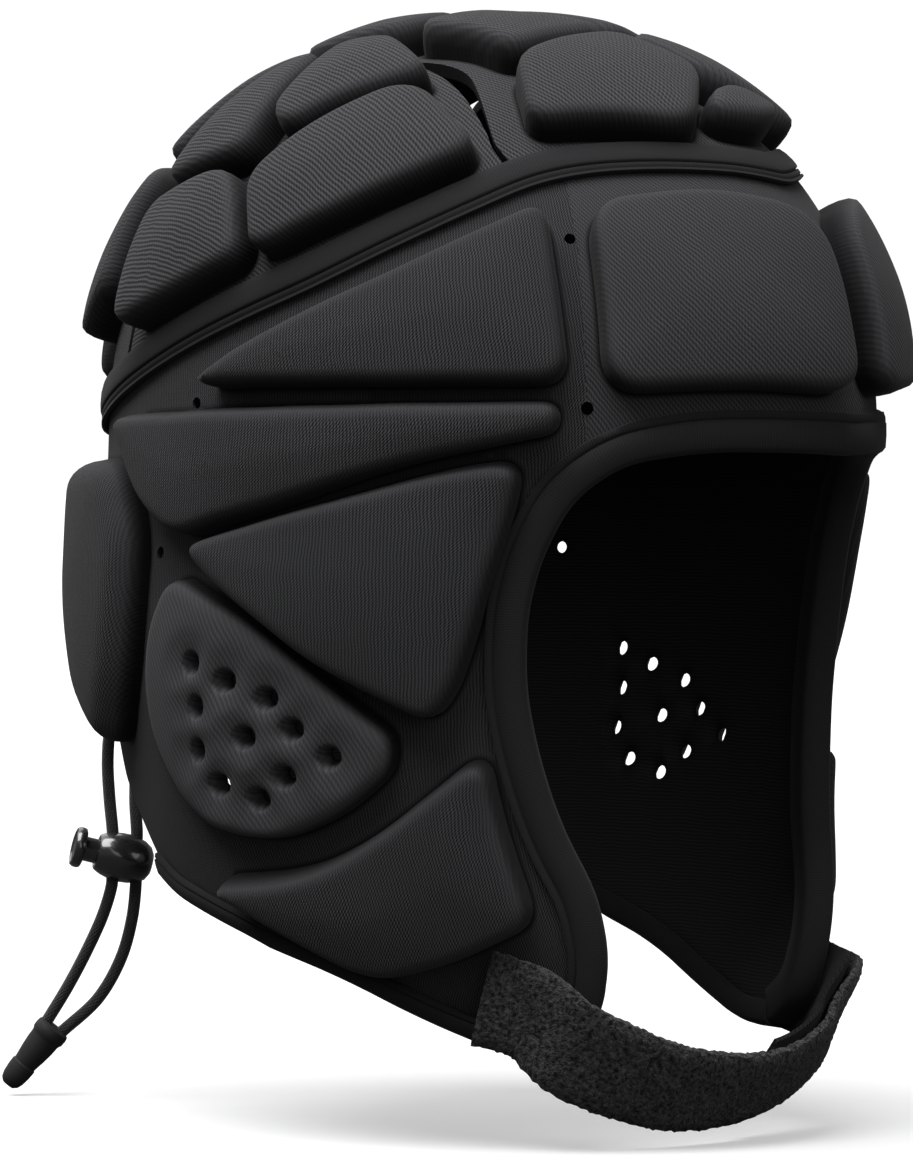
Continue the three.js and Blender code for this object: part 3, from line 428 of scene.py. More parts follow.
def hex_grid(ring, step):
    low, high = ring.min(axis=0), ring.max(axis=0)
    rows = np.arange(low[1], high[1], step * 0.87)
    columns = np.arange(low[0], high[0], step)
    x = columns[None] + np.where(np.arange(len(rows)) % 2, step / 2, 0)[:, None]
    return np.stack(np.broadcast_arrays(x, rows[:, None]), axis=-1).reshape(-1, 2)


def hole_rings(centre, radius, dimple):
    """Rings of points round a punched vent: its rim first, then the dimple's slope."""
    sides = 14
    angle = np.arange(sides) * 2 * np.pi / sides
    way = np.stack([np.cos(angle), np.sin(angle)], axis=1)
    reaches = [radius] + ([radius * 1.35, radius * 1.8, dimple * 0.8, dimple] if dimple else [radius * 1.5])
    return [centre + way * r for r in reaches]


def cut_sheet(outline, points, holes):
    """Triangles over an outline, with its holes left open."""
    rims = [outline] + holes
    fixed = np.vstack(rims)
    edges, first = [], 0
    for rim in rims:
        edges += [(first + i, first + (i + 1) % len(rim)) for i in range(len(rim))]
        first += len(rim)
    everything = np.vstack([fixed, points])
    made = delaunay_2d_cdt([Vector(p) for p in everything.tolist()], edges, [], 0, 1e-5)
    places = np.array([tuple(v) for v in made[0]])
    triangles = np.array([f for f in made[2] if len(f) == 3])
    middle = places[triangles].mean(axis=1)
    keep = inside(middle, outline)
    for rim in holes:
        low, high = rim.min(axis=0), rim.max(axis=0)
        near = np.flatnonzero(np.all((middle > low) & (middle < high), axis=1))
        keep[near] &= ~inside(middle[near], rim)
    triangles = triangles[keep]
    a, b, c = places[triangles[:, 0]], places[triangles[:, 1]], places[triangles[:, 2]]
    wrong = np.cross(b - a, c - a) < 0
    triangles[wrong] = triangles[wrong][:, ::-1]
    lookup = {}
    for new, olds in enumerate(made[3]):
        for old in olds:
            lookup[old] = new
    rim_ids, first = [], 0
    for rim in rims:
        rim_ids.append([lookup[first + i] for i in range(len(rim))])
        first += len(rim)
    return places, triangles, rim_ids


def skin_points(outline, pads, rises, shape, dimpled):
    """Where the cloth's corners lie: an even grid, and close lines along each pad's foot."""
    grid = hex_grid(outline, FINE)
    grid = grid[inside(grid, outline)]
    _, depth = pad_heights(grid, pads, rises, *shape)
    clear = (depth < FOLLOWERS[0] - 0.7) | (depth > FOLLOWERS[-1] + 0.8)
    traced = contour_points(pads, rises, shape)
    points = np.vstack([grid[clear], traced[inside(traced, outline)]])
    points = points[distance(points, outline) > 0.7]
    for centre, _, _, reach in dimpled:
        points = points[np.hypot(*(points - centre).T) > reach + FINE * 0.4]
    return points


def pressed_vents(places, height, dimpled):
    """The foam's height once it has sunk about each vent and its dimple is pressed."""
    sunk = np.zeros(len(places))
    for centre, _, (_, sink, _), _ in dimpled:
        near = np.hypot(*(places - centre).T)
        sunk = np.maximum(sunk, sink * np.exp(-(near / SINK_REACH) ** 4))
    height = height - sunk * np.clip(height / EAR_RISE, 0, 1)
    for centre, radius, (dimple, _, steep), _ in dimpled:
        if dimple:
            r = np.hypot(*(places - centre).T)
            t = np.clip((r - radius) / (dimple - radius), 0, 1)
            share = 1 - (1 - t) ** steep
            height = np.where(r < dimple, VENT_FLOOR + (height - VENT_FLOOR) * share, height)
    return height


def rim_walls(lift, places, rims, floors, first):
    """Walls down from each rim to its floor, as points, their pattern places and faces."""
    points, flat, faces = [], [], []
    for rim, floor in zip(rims, floors):
        start = first + len(points)
        points += lift(places[rim], np.full(len(rim), floor)).tolist()
        flat += places[rim].tolist()
        for i in range(len(rim)):
            j = (i + 1) % len(rim)
            faces.append((rim[j], rim[i], start + i, start + j))
    return points, flat, faces


def panel_lining(name, node, lift, outline, holes, flares, dimpled):
    """The plain cloth inside a panel, drawn up towards the skin round each vent."""
    inner = hex_grid(outline, 4.0)
    inner = inner[inside(inner, outline)]
    inner = inner[distance(inner, outline) > 2.2]
    for centre, radius, _, _ in dimpled:
        inner = inner[np.hypot(*(inner - centre).T) > radius + VENT_FLARE + 0.7]
    places, triangles, _ = cut_sheet(outline, np.vstack([inner] + flares), holes)
    level = np.full(len(places), -SHEET)
    for centre, radius, (dimple, _, _), _ in dimpled:
        if dimple:
            away = np.clip((np.hypot(*(places - centre).T) - radius) / VENT_FLARE, 0, 1)
            level = np.maximum(level, -VENT_SKIN - (SHEET - VENT_SKIN) * away)
    lining = new_piece(name + "_lining", lift(places, level), triangles[:, ::-1].tolist(), places)
    lining.data.materials.append(lining_cloth)
    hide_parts(node)


def foam_panel(name, node, lift, outline, pads, vents, rises, cloth, bulge=1.3, grown=0.5):
    """A moulded panel: ribbed cloth outside over channels and pads, the cut foam at its edges, and
    the plain lining inside, which is a piece of its own."""
    rings, holes, dimpled, flares = [], [], [], []
    for centre, radius, dimple in vents:
        made = hole_rings(centre, radius, dimple[0])
        holes.append(made[0])
        rings += made[1:]
        flares.append(hole_rings(centre, radius + VENT_FLARE, 0)[0])
        dimpled.append((centre, radius, dimple, max(np.hypot(*(made[-1][0] - centre)), radius)))
    shape = (bulge, grown)
    points = np.vstack([skin_points(outline, pads, rises, shape, dimpled)] + rings)
    places, triangles, rims = cut_sheet(outline, points, holes)
    height, depth = pad_heights(places, pads, rises, *shape)
    outside = lift(places, pressed_vents(places, height, dimpled))
    floors = [-SHEET] + [-VENT_SKIN if dimple[0] else -SHEET for _, _, dimple in vents]
    wall_points, wall_flat, walls = rim_walls(lift, places, rims, floors, len(places))
    piece = new_piece(name, np.vstack([outside, wall_points]), triangles.tolist() + walls,
                      np.vstack([places, wall_flat]), crease=60)
    # Each point's depth in its pad: the cloth reads it to flatten its ribs on the walls and to paint shade in
    # the creases at the pads' feet.
    tone = piece.data.attributes.new("depth", "FLOAT", "POINT")
    depths = np.concatenate([depth, np.full(len(wall_points), FAR_OUTSIDE)])
    tone.data.foreach_set("value", depths.astype(np.float32))
    kinds = np.full(len(piece.data.polygons), CUT, dtype=np.int32)
    kinds[:len(triangles)] = cloth(places[triangles].mean(axis=1)) if callable(cloth) else cloth
    for material in (diagonal_rib, cut_foam, upright_rib, ear_rib, top_rib, petal_rib):
        piece.data.materials.append(material)
    piece.data.polygons.foreach_set("material_index", kinds)
    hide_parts(node)
    panel_lining(name, node, lift, outline, holes, flares, dimpled)


def new_material(name, roughness, sheen=0.0, specular=0.5, coat=0.0):
    material = bpy.data.materials.new(name)
    material.use_nodes = True
    shader = material.node_tree.nodes["Principled BSDF"]
    shader.inputs["Roughness"].default_value = roughness
    shader.inputs["Sheen Weight"].default_value = sheen
    shader.inputs["Sheen Roughness"].default_value = 0.45
    shader.inputs["Specular IOR Level"].default_value = specular
    shader.inputs["Coat Weight"].default_value = coat
    return material, material.node_tree, shader


def add(tree, kind, values=None, **settings):
    """A shader node with its settings and its inputs' values or links."""
    node = tree.nodes.new(kind)
    for key, value in settings.items():
        setattr(node, key, value)
    for key, value in (values or {}).items():
        if isinstance(value, bpy.types.NodeSocket):
            tree.links.new(value, node.inputs[key])
        else:
            node.inputs[key].default_value = value
    return node


def maths(tree, operation, *values):
    """A value worked out of others in the shader."""
    return add(tree, "ShaderNodeMath", dict(enumerate(values)), operation=operation).outputs[0]


def emboss(tree, shader, height, strength, distance):
    """Relief over a surface, from a height."""
    relief = add(tree, "ShaderNodeBump", {"Height": height, "Strength": strength, "Distance": distance})
    tree.links.new(relief.outputs[0], shader.inputs["Normal"])


def real_place(tree):
    """The point's own place in metres, so that grain has its real size on every piece."""
    return add(tree, "ShaderNodeTexCoord").outputs["Object"]


# Radians in a decimetre of the pattern, for ribs 1 mm apart
RIB_TURNS = 628.3


def rib_knit_group():
    """The ribs of a knit: their height over the pattern, for a pitch in mm, a lean in degrees and
    how far the single stitches show in each rib."""
    group = bpy.data.node_groups.new("rib_knit", "ShaderNodeTree")
    for name, default in (("Pitch", 1.0), ("Lean", 0.0), ("Stitches", 0.4)):
        socket = group.interface.new_socket(name, in_out="INPUT", socket_type="NodeSocketFloat")
        socket.default_value = default
    group.interface.new_socket("Height", in_out="OUTPUT", socket_type="NodeSocketFloat")
    group.interface.new_socket("Worn", in_out="OUTPUT", socket_type="NodeSocketFloat")
    given = add(group, "NodeGroupInput")
    pattern = add(group, "ShaderNodeUVMap", uv_map="pattern")
    wander = add(group, "ShaderNodeTexNoise", {"Vector": pattern.outputs[0], "Scale": 14.0, "Detail": 2.0})
    drift = add(group, "ShaderNodeVectorMath", {0: wander.outputs["Color"], 1: (0.012, 0.012, 0.0)},
                operation="MULTIPLY")
    moved = add(group, "ShaderNodeVectorMath", {0: pattern.outputs[0], 1: drift.outputs[0]}, operation="ADD")
    turned = add(group, "ShaderNodeVectorRotate", rotation_type="Z_AXIS", values={
        "Vector": moved.outputs[0], "Angle": maths(group, "RADIANS", given.outputs["Lean"])})
    apart = add(group, "ShaderNodeSeparateXYZ", {0: turned.outputs[0]})
    per = maths(group, "DIVIDE", RIB_TURNS, given.outputs["Pitch"])
    across = maths(group, "MULTIPLY", apart.outputs["Y"], per)
    slant = maths(group, "ADD", maths(group, "MULTIPLY", apart.outputs["X"], per), across)
    stitch = maths(group, "MULTIPLY", maths(group, "SINE", slant), given.outputs["Stitches"])
    total = maths(group, "ADD", maths(group, "SINE", across), stitch)
    height = add(group, "ShaderNodeMapRange", {"Value": total, "From Min": -1.4, "From Max": 1.4})
    result = add(group, "NodeGroupOutput")
    group.links.new(height.outputs[0], result.inputs["Height"])
    group.links.new(wander.outputs["Fac"], result.inputs["Worn"])
    return group


def mixed(tree, share, low, high):
    """A colour between two, by a share."""
    return add(tree, "ShaderNodeMix", {"Factor": share, "A": (*low, 1), "B": (*high, 1)},
               data_type="RGBA").outputs["Result"]


rib_knit = rib_knit_group()


def ribbed_cloth_material(name, low, high, pitch, lean, bump, walls_and_crease_shade=False, stitches=0.45):
    """A ribbed knit. Over pads its ribs are drawn flat on the walls, and painted shade makes it near black in
    the creases at each pad's foot.
    """
    material, tree, shader = new_material(name, 0.8, sheen=0.06, specular=0.12)
    ribs = tree.nodes.new("ShaderNodeGroup")
    ribs.node_tree = rib_knit
    ribs.inputs["Pitch"].default_value = pitch
    ribs.inputs["Lean"].default_value = lean
    ribs.inputs["Stitches"].default_value = stitches
    height = ribs.outputs["Height"]
    if walls_and_crease_shade:
        depth = add(tree, "ShaderNodeAttribute", attribute_name="depth").outputs["Fac"]
        off_wall = maths(tree, "ABSOLUTE", maths(tree, "SUBTRACT", depth, 0.8))
        flat = add(tree, "ShaderNodeMapRange", {"Value": off_wall, "From Min": 0.8, "From Max": 3.2,
                                                "To Min": 0.35}).outputs[0]
        height = add(tree, "ShaderNodeMix", {"Factor": flat, "A": 0.5, "B": height}).outputs["Result"]
    colour = mixed(tree, height, low, high)
    # Painted shade: within about a millimetre of a pad's foot the cloth's colour turns near black, standing in
    # for the shade in the crease.
    if walls_and_crease_shade:
        unshaded_share = add(tree, "ShaderNodeMapRange", {"Value": maths(tree, "ABSOLUTE", depth),
                                                      "From Min": 0.1, "From Max": 1.3})
        colour = add(tree, "ShaderNodeMix", {"Factor": unshaded_share.outputs[0], "A": (0.005, 0.005, 0.006, 1),
                                             "B": colour}, data_type="RGBA").outputs["Result"]
    tree.links.new(colour, shader.inputs["Base Color"])
    emboss(tree, shader, height, 0.8, bump)
    return material


DARK_YARN, LIGHT_YARN = (0.011, 0.011, 0.0118), (0.082, 0.082, 0.087)
diagonal_rib = ribbed_cloth_material("diagonal_rib", (0.02, 0.02, 0.0213), (0.072, 0.072, 0.0765), 0.85, 50,
                                     0.00016, walls_and_crease_shade=True)
top_rib = ribbed_cloth_material("top_rib", DARK_YARN, LIGHT_YARN, 1.05, 92, 0.00025, walls_and_crease_shade=True)
petal_rib = ribbed_cloth_material("petal_rib", DARK_YARN, LIGHT_YARN, 1.05, 115, 0.00025, walls_and_crease_shade=True)
upright_rib = ribbed_cloth_material("upright_rib", (0.006, 0.006, 0.0065), (0.07, 0.07, 0.0745), 0.68, 84,
                                    0.00018, walls_and_crease_shade=True, stitches=1.0)
ear_rib = ribbed_cloth_material("ear_rib", (0.04, 0.04, 0.0425), (0.08, 0.08, 0.0845), 1.0, 56, 0.00006,
                                walls_and_crease_shade=True)
lining_cloth = ribbed_cloth_material("lining_cloth", (0.015, 0.015, 0.015), (0.04, 0.04, 0.04), 0.8, 0,
                                     0.00003)
shader = lining_cloth.node_tree.nodes["Principled BSDF"]
shader.inputs["Sheen Weight"].default_value = 0.0
shader.inputs["Specular IOR Level"].default_value = 0.1

cut_foam, tree, shader = new_material("cut_foam", 0.95, specular=0.2)
cells = add(tree, "ShaderNodeTexNoise", {"Vector": real_place(tree), "Scale": 900.0, "Detail": 3.0})
tree.links.new(mixed(tree, cells.outputs["Fac"], (0.006, 0.006, 0.007), (0.03, 0.03, 0.033)),
               shader.inputs["Base Color"])

face_edge = corner_path(band_corners(FACE_EDGE + HEM_EDGE[:1]), False, EDGE_STEP)
hem_edge = corner_path(band_corners(HEM_EDGE + NAPE_EDGE[:1]), False, EDGE_STEP)
nape_edge = corner_path(band_corners(NAPE_EDGE), False, EDGE_STEP)
seam = np.array(seam_run(band_flat, -SPLIT_TOP, 0, 0.35))[:, :2]


def flipped(points):
    return points[::-1] * (-1, 1)


right = np.vstack([face_edge[:-1], hem_edge[:-1], nape_edge])
edge = np.vstack([flipped(right)[:-1], right])
band_outline = np.vstack([edge, seam, flipped(seam)[1:]])[::-1]
band_outline = even_steps(np.vstack([band_outline, band_outline[:1]]), EDGE_STEP)[:-1]


def both(corners):
    return [soft_ring(corners), soft_ring(mirrored(corners))]


band_pads = [ring for rows in BAND_PADS.values() for ring in both(band_corners(rows))]
vents = []
for rows, radius, dimple in ((EAR_VENTS, EAR_HOLE, RIGHT_DIMPLE),
                             (CHANNEL_VENTS, CHANNEL_HOLE, CHANNEL_DIMPLE), (EYELETS, EYELET_HOLE, NO_DIMPLE)):
    for away, down in rows:
        vents.append((band_flat(away, down), radius, dimple))
        vents.append((band_flat(-away, down), radius, LEFT_DIMPLE if rows is EAR_VENTS else dimple))
PAD_WALLS = {"ear": (EAR_RISE, 3.4), "nape": (PAD_RISE, 8.0)}
band_rises = [PAD_WALLS.get(name, (PAD_RISE, 2.9)) for name in BAND_PADS for _ in (1, 2)]
ear_rings = [soft_ring(hand(band_corners(BAND_PADS["ear"]))) for hand in (list, mirrored)]


def band_cloth(middles):
    """Which way the knit lies: diagonal over the forehead, upright at the sides, slanted on the ears."""
    kind = np.where(np.abs(middles[:, 0]) < 41 * ARC, DIAGONAL, UPRIGHT)
    for ring in ear_rings:
        kind[inside(middles, ring)] = EAR
    return kind


foam_panel("band", "padded_band", band_lift, band_outline, band_pads, vents, band_rises, band_cloth)

# The crown: a centre panel from the forehead seam over the top to the back, and a petal on
# each side. They are cut from the same moulded sheet, and part in front and behind.
CENTRE_EDGE = [(-0.404, -0.3, 6), (-0.385, -0.278, 6), (-0.235, -0.13, 8), (-0.2, -0.03, 14),
               (-0.2, 0.1, 14), (-0.235, 0.22, 12), (-0.35, 0.36, 12), (-0.53, 0.455, 14), (-0.7, 0.515, 10)]
CENTRE_TURNS = (-49.2, -127)
SIDE_EDGE = [(-0.706, 0.496, 10), (-0.61, 0.415, 14), (-0.4, 0.315, 12), (-0.26, 0.2, 12),
             (-0.215, 0.1, 12), (-0.216, -0.01, 12), (-0.29, -0.14, 12), (-0.395, -0.279, 6),
             (-0.412, -0.296, 6)]
SIDE_TURNS = (-50.6, -125)
MIDDLE_PAD = [(-0.03, -0.426, 4), (0.03, -0.426, 4), (0.086, -0.473, 5), (0, -0.492, 40), (-0.086, -0.473, 5)]
CENTRE_PADS = [
    [(-0.235, -0.232, 8), (-0.017, -0.232, 8), (-0.017, -0.375, 8), (-0.145, -0.485, 10), (-0.355, -0.345, 9)],
    [(-0.175, -0.1, 9), (-0.165, 0.0, 9), (-0.017, 0.0, 8), (-0.017, -0.202, 8), (-0.21, -0.202, 9)],
    [(-0.165, 0.03, 9), (-0.2, 0.2, 9), (-0.017, 0.215, 8), (-0.017, 0.03, 8)],
    [(-0.235, 0.25, 9), (-0.36, 0.41, 9), (-0.2, 0.485, 20), (-0.017, 0.5, 8), (-0.017, 0.25, 8)],
    [(-0.39, 0.44, 9), (-0.58, 0.53, 9), (-0.5, 0.705, 10), (-0.3, 0.7, 20), (-0.21, 0.53, 9)],
    [(-0.165, 0.53, 9), (-0.017, 0.54, 8), (-0.017, 0.925, 8), (-0.29, 0.875, 10), (-0.255, 0.73, 20)],
]
SIDE_PADS = [
    [(-0.24, 0.0, 8), (-0.335, -0.125, 9), (-0.375, -0.085, 9), (-0.49, 0.045, 9), (-0.45, 0.095, 9),
     (-0.245, 0.085, 8)],
    [(-0.255, 0.12, 8), (-0.45, 0.13, 8), (-0.53, 0.13, 10), (-0.505, 0.33, 9), (-0.4, 0.28, 12),
     (-0.285, 0.19, 9)],
    [(-0.6, 0.065, 9), (-0.4, -0.11, 9), (-0.39, -0.155, 9), (-0.463, -0.305, 8), (-0.565, -0.235, 40),
     (-0.65, -0.14, 40), (-0.715, -0.035, 20), (-0.725, 0.01, 9)],
    [(-0.57, 0.14, 8), (-0.55, 0.345, 9), (-0.62, 0.38, 20), (-0.735, 0.42, 9), (-0.765, 0.27, 30),
     (-0.76, 0.15, 20), (-0.74, 0.045, 9), (-0.625, 0.1, 9)],
]
half = seam_run(crown_flat, -1, CENTRE_TURNS[0], -0.35) + crown_corners(CENTRE_EDGE)
half += seam_run(crown_flat, CENTRE_TURNS[1], -180, -0.35)
centre_outline = corner_path(half + mirrored(half[:-1]), True, EDGE_STEP)
centre_pads = [soft_ring(crown_corners(MIDDLE_PAD))]
for rows in CENTRE_PADS:
    centre_pads += both(crown_corners(rows, 0.6))
CROWN_SHAPE = {"bulge": 1.2, "grown": 1.7}
CROWN_WALL = (PAD_RISE, 3.0)
foam_panel("crown_middle", "crown_centre", crown_lift, centre_outline, centre_pads, [],
           [CROWN_WALL] * len(centre_pads), TOP, **CROWN_SHAPE)
petal = seam_run(crown_flat, *SIDE_TURNS, -0.35) + crown_corners(SIDE_EDGE)
for side, hand in (("right", list), ("left", mirrored)):
    foam_panel("petal_" + side, "crown_side_" + side, crown_lift, corner_path(hand(petal), True, EDGE_STEP),
               [soft_ring(hand(crown_corners(rows, 0.6))) for rows in SIDE_PADS], [],
               [CROWN_WALL] * len(SIDE_PADS), PETAL, **CROWN_SHAPE)

# The tape over the crown seam and the bindings folded over the face edge and the flaps'
# lower edges: a smooth dark jersey with a stretch to it, sewn down along one side.
binding_cloth = ribbed_cloth_material("binding_cloth", (0.014, 0.014, 0.015), (0.028, 0.028, 0.03), 0.55, 90,
                                      0.00003)
GAP, EASE = 0.35, 0.65


def sweep_faces(count, sides, closed):
    faces = []
    for i in range(count if closed else count - 1):
        a, b = i * sides, (i + 1) % count * sides
        faces += [(a + j, a + (j + 1) % sides, b + (j + 1) % sides, b + j) for j in range(sides)]
    if not closed:
        faces += [tuple(range(sides - 1, -1, -1)), tuple((count - 1) * sides + j for j in range(sides))]
    return faces


def sweep_on(name, node, lift, points, section, closed):
    """Lays a section along pattern points. Its first measure runs over the surface, its second out."""
    section = np.array(section)
    before, after = np.roll(points, 1, axis=0), np.roll(points, -1, axis=0)
    if not closed:
        before[0], after[-1] = points[0], points[-1]
    along = unit(after - before)
    aside = np.stack([-along[:, 1], along[:, 0]], axis=1)
    zero = np.zeros(len(points))
    scale = np.linalg.norm(lift(points + aside, zero) - lift(points - aside, zero), axis=1) / 2
    rings = np.stack([lift(points + aside * (a / scale)[:, None], zero + b) for a, b in section], axis=1)
    flat = pattern_places(run_so_far(rings[:, 0]), run_so_far(section))
    faces = sweep_faces(len(points), len(section), closed)
    piece = new_piece(name, rings.reshape(-1, 3), faces, flat, crease=70)
    piece.data.materials.append(binding_cloth)
    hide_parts(node)


# The flat tape over the crown seam, with two grooves where its stitches lie
TAPE_HALF, TAPE_TURNS = 4.5, 300
turns = 180 - (np.arange(TAPE_TURNS) + 0.5) * 360 / TAPE_TURNS
tape_line = crown_flat(turns, seam_level(turns))
tape = [(TAPE_HALF + 0.3, EASE + 0.4), (TAPE_HALF + 0.1, EASE + 1.1), (TAPE_HALF * 0.88, EASE + 1.1),
        (TAPE_HALF * 0.84, EASE + 0.6), (TAPE_HALF * 0.8, EASE + 0.6), (TAPE_HALF * 0.76, EASE + 1.0),
        (TAPE_HALF * 0.53, EASE + 1.05), (TAPE_HALF * 0.49, EASE + 0.6), (TAPE_HALF * 0.44, EASE + 0.6),
        (TAPE_HALF * 0.4, EASE + 1.2), (TAPE_HALF * 0.3, EASE + 1.4), (0, EASE + 1.5),
        (TAPE_HALF * -0.5, EASE + 1.45), (0.5 - TAPE_HALF, EASE + 1.15), (-TAPE_HALF - 0.15, EASE + 0.5),
        (-TAPE_HALF, EASE - 0.3), (TAPE_HALF, EASE - 0.3)]
sweep_on("crown_tape", "crown_binding", crown_lift, tape_line, tape, True)

# The folded bindings: how far each reaches over the cloth, and its wall
FACE_FOLD, HEM_FOLD, FOLD_WALL = 7.5, 4.5, 1.6


def folded(width, wall):
    under, end, lip = -SHEET - EASE, GAP + wall, GAP - width
    return [(GAP, under), (lip, under), (lip, under - wall * 0.6), (lip + 0.6, under - wall),
            (end * 0.4, under - wall), (end * 0.8, under - wall * 0.5), (end, -SHEET + 0.3), (end, -0.6),
            (end * 0.85, EASE + wall * 0.45), (end * 0.3, EASE + wall * 0.95), (lip * 0.3, EASE + wall),
            (lip * 0.66, EASE + wall * 0.95), (lip * 0.74, EASE + wall * 0.45),
            (lip * 0.82, EASE + wall * 0.8), (lip, EASE + wall * 0.6), (lip - 0.1, EASE), (GAP, EASE)]


face_run = np.vstack([flipped(face_edge[:-1])[:-1], face_edge[:-1]])
hem_fold = folded(HEM_FOLD, FOLD_WALL)
sweep_on("face_tape", "face_binding", band_lift, face_run, folded(FACE_FOLD, FOLD_WALL), False)
sweep_on("hem_tape_right", "hem_binding_right", band_lift, hem_edge[:-1], hem_fold, False)
sweep_on("hem_tape_left", "hem_binding_left", band_lift, flipped(hem_edge[:-1]), hem_fold, False)

# The chin strap: loop pile woven on webbing, sewn to the right flap and closed by hook tape
# on the left. A plain webbing layer lies under its left part.
STRAP_HALF, STRAP_THICK, TAB_THICK, STRAP_STEP, NAP = 11.5, 2.6, 1.8, 0.8, 0.22
STRAP_ROUTE = [(-0.575, 0.645, 0.925), (-0.44, 0.71, 0.963), (-0.29, 0.775, 0.99), (-0.1, 0.815, 0.998),
               (0.1, 0.83, 0.986), (0.3, 0.82, 0.95), (0.47, 0.78, 0.89)]
STRAP_ROLL = np.array([(0, 14), (0.25, 30), (0.5, 42), (0.75, 30), (1, 12)])
seat = FOLD_WALL + 5 * GAP
strap_points = [shell(t, l, seat) for t, l in ((-57, 1.845), (-50, 1.87))]
strap_points += [np.array((a * HALF_WIDTH, -f * HALF_LENGTH, SHEET - DOME - low * DROP))
                 for a, f, low in STRAP_ROUTE]
strap_points += [shell(t, l, seat + TAB_THICK + 2 * EASE + GAP)
                 for t, l in ((44, 1.872), (51, 1.86), (58, 1.845))]
strap_line = smooth_run(strap_points, STRAP_STEP)


def strap_layer(name, node, start, end, lift, section, rough=0.0):
    """A layer of the strap over a share of its length, and roughened where it has a nap."""
    run = strap_line[int(start * (len(strap_line) - 1)):int(end * (len(strap_line) - 1)) + 1]
    share = np.linspace(start, end, len(run))
    along = unit(np.gradient(run, axis=0))
    roll = np.radians(between(STRAP_ROLL, 1, share))
    level = unit(np.stack([along[:, 1], -along[:, 0], np.zeros(len(run))], axis=1))
    out = level * np.cos(roll)[:, None] - np.array([0, 0, 1]) * np.sin(roll)[:, None]
    out = unit(out - along * np.sum(out * along, axis=1)[:, None])
    across = np.cross(out, along)
    section = np.array(section)
    rings = (run + out * lift)[:, None] + across[:, None] * section[None, :, :1]
    rings += out[:, None] * section[None, :, 1:]
    nap = np.random.default_rng(5).uniform(-rough, rough, (2, len(run), len(section), 1))
    rings += nap[0] * out[:, None] + nap[1] * across[:, None]
    flat = pattern_places(share * len(strap_line) * STRAP_STEP, run_so_far(section))
    piece = new_piece(name, rings.reshape(-1, 3), sweep_faces(len(run), len(section), False), flat)
    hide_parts(node)
    return piece


def strap_section(half, thick, count=24):
    low = [(-half, 0), (half, 0)]
    xs = np.linspace(half, -half, count)
    top = [(x, thick * (1 - 0.45 * (abs(x) / half) ** 8)) for x in xs]
    return low + top


pile = strap_layer("chin_strap_pile", "chin_strap", 0, 1, 0, strap_section(STRAP_HALF, STRAP_THICK),
                   NAP)
loop_pile, tree, shader = new_material("loop_pile", 0.9, sheen=0.15, specular=0.1)
fuzz = add(tree, "ShaderNodeTexNoise", {"Vector": real_place(tree), "Scale": 950.0, "Detail": 3.0,
                                        "Roughness": 0.6})
curls = add(tree, "ShaderNodeMapRange", {"Value": fuzz.outputs["Fac"], "From Min": 0.35, "From Max": 0.68})
tree.links.new(mixed(tree, curls.outputs[0], (0.006, 0.006, 0.006), (0.1, 0.1, 0.104)),
               shader.inputs["Base Color"])
emboss(tree, shader, curls.outputs[0], 1.0, 0.0007)
pile.data.materials.append(loop_pile)

tab = strap_layer("chin_strap_webbing", "chin_strap_tab", 0.5, 0.97, -TAB_THICK - EASE - GAP,
                  strap_section(STRAP_HALF, TAB_THICK))
webbing = ribbed_cloth_material("webbing", (0.006, 0.006, 0.007), (0.02, 0.02, 0.022), 1.2, 45, 0.00015)
tab.data.materials.append(webbing)

# The lace across the split behind: three bars of the same braided cord, from eyelet to eyelet. They
# are drawn tight over the foam, and go in through the eyelets at both ends.
for i, level in enumerate((1.08, 1.19, 1.3)):
    over = CORD / 2 + 0.6
    rows = [(9, -4), (9, -0.4), (7.02, over), (3.6, over + 0.8), (0, over + 1)]
    bar = [shell(t - 180, level, rise) for t, rise in rows]
    bar += [shell(180 - t, level, rise) for t, rise in rows[-2::-1]]
    cords[f"bar_{i + 1}"] = lace_run(f"lace_across_{i + 1}", bar, f"lace_bar_{i + 1}")

lace_cloth, tree, shader = new_material("lace_cloth", 0.6, sheen=0.3, specular=0.4)
pattern = add(tree, "ShaderNodeUVMap", uv_map="pattern")
apart = add(tree, "ShaderNodeSeparateXYZ", {0: pattern.outputs[0]})
# The two ways of strands: radians in a decimetre along the lace and round it
STRAND_TURNS, strands = (420.0, 800.0), []
for sign in (1, -1):
    u = maths(tree, "MULTIPLY", apart.outputs["X"], STRAND_TURNS[0] * sign)
    strands.append(maths(tree, "SINE", maths(tree, "MULTIPLY_ADD", apart.outputs["Y"], STRAND_TURNS[1], u)))
braid = maths(tree, "MAXIMUM", *strands)
tree.links.new(mixed(tree, braid, (0.005, 0.005, 0.006), (0.03, 0.03, 0.033)), shader.inputs["Base Color"])
emboss(tree, shader, braid, 0.8, 0.0001)
for piece, _ in cords.values():
    piece.data.materials.append(lace_cloth)

# The cord lock: a glossy moulded barrel with a sprung plunger, whose disc is pressed to let
# the lace slide. The plunger is the cap's one moving hard part.
LOCK_AT = Vector((-9, 107.3, -190.5))
lock_turn, lock_tilt = math.radians(140), math.radians(14)
lock_out = Vector((math.cos(lock_turn), math.sin(lock_turn), math.tan(lock_tilt))).normalized()


